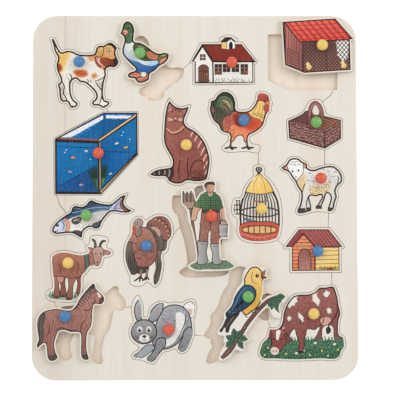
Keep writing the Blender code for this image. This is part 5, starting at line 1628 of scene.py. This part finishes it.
@picture(None, "#333234", margin=1.5, contour=None)
def rabbit(art):
    """A grey rabbit with a pale belly, looking out from under its raised back."""
    fur = "#B0B2B5 0,22 #919196 6,-14"
    art.patch("15,23 18.6,26.4 22,27 25,23.6 24.6,18 22,12 17.4,16", "#FAF8F5", 0.7)
    art.strokes("16,22 22,26 24,20 21,13", "#9A9494", 60, 1.6, 2, 0.4, 30)
    art.fill("19,19 22,20.6 22.6,16 20.8,13.4", "#DDBBB4")
    art.patch("-31.6,-24 -27,-19.6 -21,-15.4 -14.4,-17 -19,-22 -28,-27.2 -33.4,-27.2 -34.4,-25", "#A3A8B0", 0.8)
    art.line("-33,-24.6 -30.6,-26.8", 0.6)
    body = (
        "-11,8 -8,16 -3,21.4 5,23.6 12.6,22 18,17 21,9 21.6,1 20,-5 14,-6 8,-13 0,-17.6 -8,-18.4 -14,-15.6 -14,-2"
    )
    art.patch(body, fur, 1.1)
    art.strokes("-10,8 -6,18 5,23 14,20 20,10 20,0 8,2 -6,-4", "#54565C", -30, 1.9, 2.6, 0.4, 25)
    art.strokes("-10,8 -6,18 5,23 14,20 20,10 8,6", "#D0D4DA", -30, 3.1, 2.2, 0.4, 25)
    art.fill("8,16.6 14,15.6 16,8 14.4,0 9,-8 2,-14.6 -6,-17 -11,-15.6 -7,-11 1,-8 6,-1 7,8", "#F4F2F0")
    art.dots("8,16 14,15 15,6 12,-2 5,-11 -6,-16 -4,-11 6,-3", "#8E9298", 1.7, 0.38)
    art.line("16.6,17 15.4,6 10,-6 7,-10.6", 0.8)
    art.patch("16,-1 21.6,1.6 23,-4 21,-11 17.4,-18 13.4,-21 10.4,-20 10.6,-15.4 13.6,-9", fur, 1.1)
    art.strokes("15,-2 21,0 21,-10 15,-18 12,-17 14,-8", "#5A5C62", -70, 1.9, 2.4, 0.4, 20)
    art.line("11,-18.4 13,-16.4 12.6,-13.6", 0.6)
    art.patch("-11,-10 -4.6,-9 -4,-15 -9,-21.6 -14.6,-29 -19,-30.6 -20.4,-28.4 -17.6,-25 -13,-17.6", fur, 1.1)
    art.strokes("-10,-10 -5,-11 -6,-17 -16,-28 -13,-19", "#5A5C62", -120, 1.8, 2.4, 0.4, 20)
    art.line("-19.4,-27.6 -16.8,-29.6", 0.6)
    art.line("-17.6,-26 -15,-28.4", 0.5)
    for ear, inner in (
        (
            "-29.4,9 -32.6,14 -33,21 -31,26.6 -29,28.4 -27.2,26.6 -26.2,19 -27,12",
            "-29.6,13 -31,18 -30.4,23 -29,24.6 -28.2,19",
        ),
        (
            "-18.6,8.6 -18.4,14 -15,20.6 -10,24.8 -6.8,25.4 -6.4,21 -9,14.6 -13.4,9",
            "-16,12 -13.6,17.6 -9.4,21.6 -9,19.4 -12,14",
        ),
    ):
        art.patch(ear, "#B4B9C0 -20,28 #8F949C -20,8", 1.05)
        art.fill(inner, "#B4A49C")
        art.strokes(inner, "#8E7A78", 70, 1.4, 2.2, 0.35, 20)
    angle = np.linspace(0, 2 * np.pi, 30, endpoint=False)
    head = np.column_stack([-24.4 + 11.9 * np.cos(angle), -2 + 11.2 * np.sin(angle)])
    art.patch(head, "#A5A4A5 -26,8 #858285 -22,-12", 1.2)
    art.strokes(head, "#56565C", 90, 2, 2, 0.38, 40, 0.7)
    art.ring(-24, -8.4, 5.4, "#F2EFEC", 0.72)
    art.dots("-28,-8 -24,-5.4 -19.6,-8 -24,-11.6", "#8E8A88", 1.5, 0.3)
    art.ring(-24, -6.6, 2, "#3A2E30", 0.7, sides=12)
    art.line("-24,-7.8 -24,-9.4", 0.5)
    art.line("-26.6,-9.6 -24,-10.6 -21.4,-9.6", 0.55)
    for x in (-28.6, -19.6):
        art.ring(x, 0.2, 2.7, "#E9DEDA", 1.15)
        art.ring(x, -0.6, 1.5, "#2A2224", 1.25, sides=12)
        art.ring(x + 0.5, 0.4, 0.5, "#FFFFFF", sides=6)
    for lift in (-1, 0.2, 1.4):
        art.line([(-28.6, -8 + 0.4 * lift), (-34.6, -7.6 + lift * 1.3)], 0.3, None, 0.5)
        art.line([(-19.4, -8 + 0.4 * lift), (-13.6, -7.6 + lift * 1.3)], 0.3, None, 0.5)


def leaf(art, x, y, turn, length, width):
    """An oval leaf with its midrib: half its width times sin(pi t) ** 0.8, from its stalk."""
    t = np.linspace(0, 1, 9)
    half = width / 2 * np.sin(np.pi * t) ** 0.8
    rim = np.column_stack([np.concatenate([t, t[-2:0:-1]]) * length, np.concatenate([-half, half[-2:0:-1]])])
    art.patch(turned(rim, turn, x, y), "#4C6E58", 0.45, "#26382C")
    art.line(turned([(0.08 * length, 0), (0.9 * length, 0)], turn, x, y), 0.45, "#26382C")
    for share in (0.35, 0.6):
        for side in (-1, 1):
            rib = [(share * length, 0), ((share + 0.16) * length, 0.28 * width * side)]
            art.line(turned(rib, turn, x, y), 0.3, "#2E4636")


@picture(None, "#3E3022", margin=1.1, contour=None)
def bird(art):
    """A yellow songbird with blue wings, singing on a twig with leaves."""
    for twig, width in (
        ("-26,-60 -20,-54 -14,-46 -8,-38 -2,-28 4,-20 12,-11 20,-4 27,-0.6", 4.2), ("3,-13 8,-11.4 14,-9.6", 2)
    ):
        art.line(twig, width, "#33241F", 0.8)
        art.line(twig, width - 1.3, "#6E4E44", 0.8)
    art.line("-25,-59.4 -18.6,-52.6 -12,-44", 5.4, "#33241F", 0.5)
    art.line("-25,-59.4 -18.6,-52.6 -12,-44", 3.8, "#76544A", 0.5)
    for start, end in (
        ((-21, -55), (-18.6, -53)), ((-12, -44), (-10, -41)), ((-4, -31), (-2.4, -28.6)), ((8, -15.4), (10, -13.4)),
    ):
        art.line([start, end], 0.4, "#B08E80")
    for place in (
        (-12, -43, 100, 12, 6), (-13, -43, 150, 9.6, 5.4), (-14, -45, 195, 10, 5.2), (-9, -41, 5, 9.6, 5.2),
        (-9.6, -43, -55, 9, 5.4), (-11, -40, 60, 8, 4.6),
    ):
        leaf(art, *place)
    for place in (
        (25, -1.4, 12, 12, 6.4), (23.4, -2.6, -98, 11, 5.6), (25.6, -3, -62, 15, 6), (26.4, -1.6, -30, 7, 4.6),
    ):
        leaf(art, *place)
    art.patch(
        "-13,-12 -9,-14.6 -13,-22 -17.4,-28 -21,-34.6 -22.4,-29.6 -27,-34 -24.6,-28 -20,-20", "#3A3634", 0.5,
        "#211D1B",
    )
    for x, y in ((-13, -17), (-15.4, -20), (-18.6, -25)):
        art.line("0,0 -3.6,-7", 0.5, "#77706A", at=(x, y))
    breast = (
        "0.6,24 3.4,27.4 8,28.4 12,25.6 13.6,20 13.4,12 13.8,4 12,-4 7.6,-10.4 2,-14.6 -2.4,-17 -5,-13.6 -8,-4 -6,4"
        " -2.6,12 -2.4,18"
    )
    art.patch(breast, "#F3D282 2,24 #E9B450 10,-10", 1.15, "#3A2416")
    art.strokes("3,12 12,10 12,-4 4,-12 -2,-14 2,0", "#CF9440", -80, 2, 2.6, 0.4)
    art.strokes("1,24 8,27 12,20 4,14", "#D9A24A", -60, 2.2, 2.2, 0.38)
    art.line("5,24.6 3.6,19.6 5,14.6 9.6,12.6", 0.8, "#A9762C")
    wing = (
        "-2.6,10.6 2.6,10.2 6.6,6.4 7,1 4,-5 -1,-9.6 -8,-14 -14,-17.6 -20,-19.6 -21,-16.6 -16.6,-11 -12.6,-2 -8,5.6"
    )
    art.patch(wing, "#355C80 2,8 #24364A -16,-16", 1.1, "#1A1E28")
    for shift in (0, 2.6, 5.2, 7.6):
        art.line(
            [
                (5.4 - 0.6 * shift, 4 - 0.4 * shift), (-2 - 0.9 * shift, -3 - 0.5 * shift),
                (-12 - 0.5 * shift, -11.6 - 0.3 * shift),
            ],
            0.6, "#1E2430",
        )
    art.line("-2,9 -7.6,2.6 -12,-6.4 -16,-13.6", 0.8, "#6F96B8")
    art.strokes("-2,9 4,8 5,2 -2,4", "#5A82A4", -120, 2, 2, 0.35, 25)
    art.strokes("-16,-12 -12,-12 -16,-18 -20,-18", "#8CA8C6", -130, 2, 2, 0.35)
    art.line("-2.6,-16.6 -2.4,-19 0.6,-20 / 3,-12.4 4.6,-15.4 8,-15.4", 0.8, "#6A4A2C")
    art.patch("13,21.8 16.4,25.4 19.4,26.6 17.6,22.6", "#9A6A4A", 0.4)
    art.patch("13.2,20.4 16.8,19.6 19.8,18 16,17.6 13.4,18.4", "#7E4A38", 0.4)
    art.ring(9.2, 20.6, 1.9, "#6A4020", sides=12)
    art.ring(9.2, 20.6, 1.15, "#1A1210", sides=10)
    art.ring(9.6, 21, 0.4, "#FFFFFF", sides=6)


@picture("#A2665F 0,20 #8C524E 0,-20", "#33201C", contour=1.3)
def cow(art):
    """A red-brown cow with white patches, grazing in deep grass."""
    art.strokes("-26,14 -8,20 8,26 20,26 24,10 24,-16 -14,-20 -30,-16 -28,0", "#623430", -80, 2.1, 3, 0.42, 14)
    art.strokes("-20,12 4,18 20,20 22,-4 0,-10 -24,-8", "#BD8078", -70, 3.2, 2.4, 0.4, 18)
    art.frayed(
        "-26,7.6 -24.6,13.4 -19.4,18.6 -14.8,17.8! -16,14.4 -14.4,11.6! -17.6,10.6 -18.6,7.4! -21,8.2 -23,5.4!"
        " / -5,21.6! 0.4,20 5.6,22.6! 3.6,18 6.2,14.6 6.4,10 4.8,7.2! 1.6,10.4 -1.6,13! -1,17"
        " / 9.6,19.8 12.4,23.4! 16.6,21.6! 15.2,17.6 12.4,15.4!"
        " / -15.6,2.4! -12.4,0 -10,-2.8 -9.2,-7.4! -11.6,-8.2! -13.4,-5 -15.2,-3.4!"
        " / 12.8,4.4 15,6.8! 17.8,4.6 17.6,0.6! 14.6,0"
        " / -26,-3.2 -23.6,-1.2! -21.4,-4 -23.2,-7.2! -25.4,-6.6",
        "#F3EBE2", "#7E4A44",
    )
    art.patch("7,-4.6 11,-3 16,-4 18,-8 14,-11.4 8.6,-10.6", "#D9A79A", 0.5)
    art.outline()
    art.hole(
        "-24,-25 -21.6,-17.6 -18.4,-15 -15.8,-17.6 -15.4,-25 -16,-33 -24,-33 / -8.6,-24 -8,-18 -6.6,-15.6 2,-15.4"
        " 5.2,-13 3.6,-19 -0.6,-27 -1,-34 -8,-34 / 8,-24 10.4,-12.4 17.6,-11.6 19.6,-22 20,-33 6,-33",
        0.8,
    )
    art.line("24.4,8 22.6,0 19,-6 15.4,-10 14.4,-16", 1.6, "#5A302C", 0.6)
    art.patch("13.6,-13 16,-13.6 15.6,-18.6 13.8,-19.4 12.4,-16.6", "#33302F", 0.3)
    art.line("-15.8,-14 -13,-8 -13.4,-4", 0.8, "#4E2622")
    art.line("6,-12 9.6,-7 10,-3", 0.7, "#4E2622")
    grass = (
        "-56,-30 -52,-26 -46,-25 -40,-27 -32,-26.6 -22,-25.6 -12,-26.6 -2,-25 6,-26.6 16,-25.4 24,-26 32,-24 34,-50"
        " -56,-50"
    )
    art.fill(grass, "#537C60 -10,-26 #345A46 -10,-44")
    for x in np.arange(-50, 29, 1.35):
        lean = 1.5 * math.sin(1.9 * x)
        art.line(
            [(x, -28.4), (x + 0.4 * lean, -25.6), (x + lean, -23 + 1.5 * math.sin(2.7 * x))], 1.1, "#456E56", 0.15
        )
    art.strokes("-54,-28 28,-27 30,-43 -54,-44", "#1F4630", 75, 1.5, 3.4, 0.5, 28)
    art.strokes("-54,-28 28,-27 30,-43 -54,-44", "#79AE7A", 80, 2.4, 2.8, 0.45, 28)
    for x, y in ((-17, -38.4), (-10.6, -36), (1.6, -28.4), (20.4, -29.6)):
        art.ring(x, y, 1.7, "#F0EAE0", 0.6, 12, 10)
    art.fill(
        "-18,-12 -7,-12 -7.6,-20 -9.6,-25 -9.2,-30 -10.4,-35 -9.8,-38.4! -15.4,-38.4! -14.8,-35 -14,-30 -15,-25"
        " -17.4,-19",
        "#92564F",
    )
    art.line(
        "-17.6,-15.6 -17.2,-19 -15,-25 -14,-30 -14.8,-35 -15.4,-38.4 / -7.2,-15 -7.6,-20 -9.6,-25 -9.2,-30"
        " -10.4,-35 -9.8,-38.4",
        0.7, None, 1,
    )
    art.strokes("-16,-13 -8.6,-13 -10,-26 -11,-35 -14,-34 -15,-26", "#5E302C", 86, 1.5, 3, 0.4, 8)
    art.fill("-15.4,-35.8! -10.2,-35.8! -9.8,-38.4! -15.6,-38.4!", "#2E1F1C")
    art.patch(
        "-42.6,-16 -38,-15 -33,-14.6 -28.6,-17 -25.4,-22 -26,-26 -30,-31.6 -35,-37.6 -39.6,-38.2 -41.4,-34"
        " -40.6,-26 -42,-21",
        "#9E5F57 -32,-16 #84463F -36,-32", 0.8,
    )
    art.strokes("-41,-18 -30,-17 -27,-24 -36,-33", "#623430", -60, 1.9, 2.4, 0.4, 20)
    art.fill("-35.8,-16 -32.8,-16.2 -33.4,-20.6 -35.8,-25.4 -36.8,-21", "#F3EBE2")
    art.patch("-41.6,-33.4 -36.6,-32.6 -34,-36.4 -36.6,-39.8 -40.6,-39.4 -42.4,-36.4", "#E6CFC4", 0.5)
    art.ring(-39.6, -36.4, 0.7, "#3A2422", sides=8)
    art.ring(-36.6, -36.2, 0.7, "#3A2422", sides=8)
    art.ring(-39.4, -24.4, 0.9, "#1E1412", sides=8)
    art.ring(-31.4, -24.6, 0.9, "#1E1412", sides=8)
    art.patch(
        "-42.4,-17 -46.6,-20.4 -44.6,-23.6 -41,-20.6 / -28.4,-19.6 -24.6,-22 -21.8,-26 -25.4,-27 -28.6,-24",
        "#7A4540", 0.5,
    )
    art.line("-41.4,-15 -44,-13 / -30.6,-15 -28.6,-12.8", 1.3, "#D8CDBE", 0.4)
    for x, y in ((-48, -40), (-45, -33), (-27, -39), (8, -36), (14, -41), (24, -35), (-4, -40)):
        art.ring(x, y, 0.9, "#F2E39A", sides=6)


# The scene


def add_floor():
    """A wide sheet of paper just under the board."""
    mesh = bpy.data.meshes.new("paper_floor")
    corners = [(x * PAPER_HALF, y * PAPER_HALF, 0) for x, y in ((-1, -1), (1, -1), (1, 1), (-1, 1))]
    mesh.from_pydata(corners, [], [(0, 1, 2, 3)])
    mesh.materials.append(white_floor())
    floor = bpy.data.objects.new("paper_floor", mesh)
    floor.location.z = -PAPER_DROP
    bpy.context.scene.collection.objects.link(floor)


bpy.context.scene.view_settings.view_transform = "Standard"
add_camera()
light_world()
add_softbox("left_softbox", (-1.15, 0.55, 1.35), 6.7)
add_softbox("right_softbox", (1.15, 0.55, 1.35), 8.0)
add_floor()

birch = plywood("varnished_birch_plywood", "#E7E1D6", "#E3DCD0", "#E4D8CA", 0.42)
board_birch = plywood("joined_birch_plywood", "#E7E1D6", "#E3DCD0", "#E4D8CA", 0.42, VENEER_JOINT_MM)
# Unvarnished backing veneer, its grain real, but its colours are set lighter than the board's face as painted light
# that offsets the shade on the openings' floors
backing = plywood("backing_plywood_painted_lighter", "#F2E7D8", "#EBDECE", "#EEDCCD", 0.5)
ink = print_ink()
plastics = {
    "knob_red": moulded_plastic("red_abs", "#DE5D42"),
    "knob_yellow": moulded_plastic("yellow_abs", "#F2CC70"),
    "knob_green": moulded_plastic("green_abs", "#74B45F"),
    "knob_blue": moulded_plastic("blue_abs", "#4882B8"),
}

add_sheet("backing_panel", "backing_sheet", "board", [backing])
add_sheet("cutout_panel", "cutout_sheet", "board", [board_birch])
for name, (draw, looks) in PICTURES.items():
    piece, knob = name + "_piece", name + "_knob"
    add_piece(name + "_plaque", piece, name, [birch, ink], draw, looks, centre_of(knob))
    add_knob(name + "_grip", knob, name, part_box(piece)[1].z, plastics)
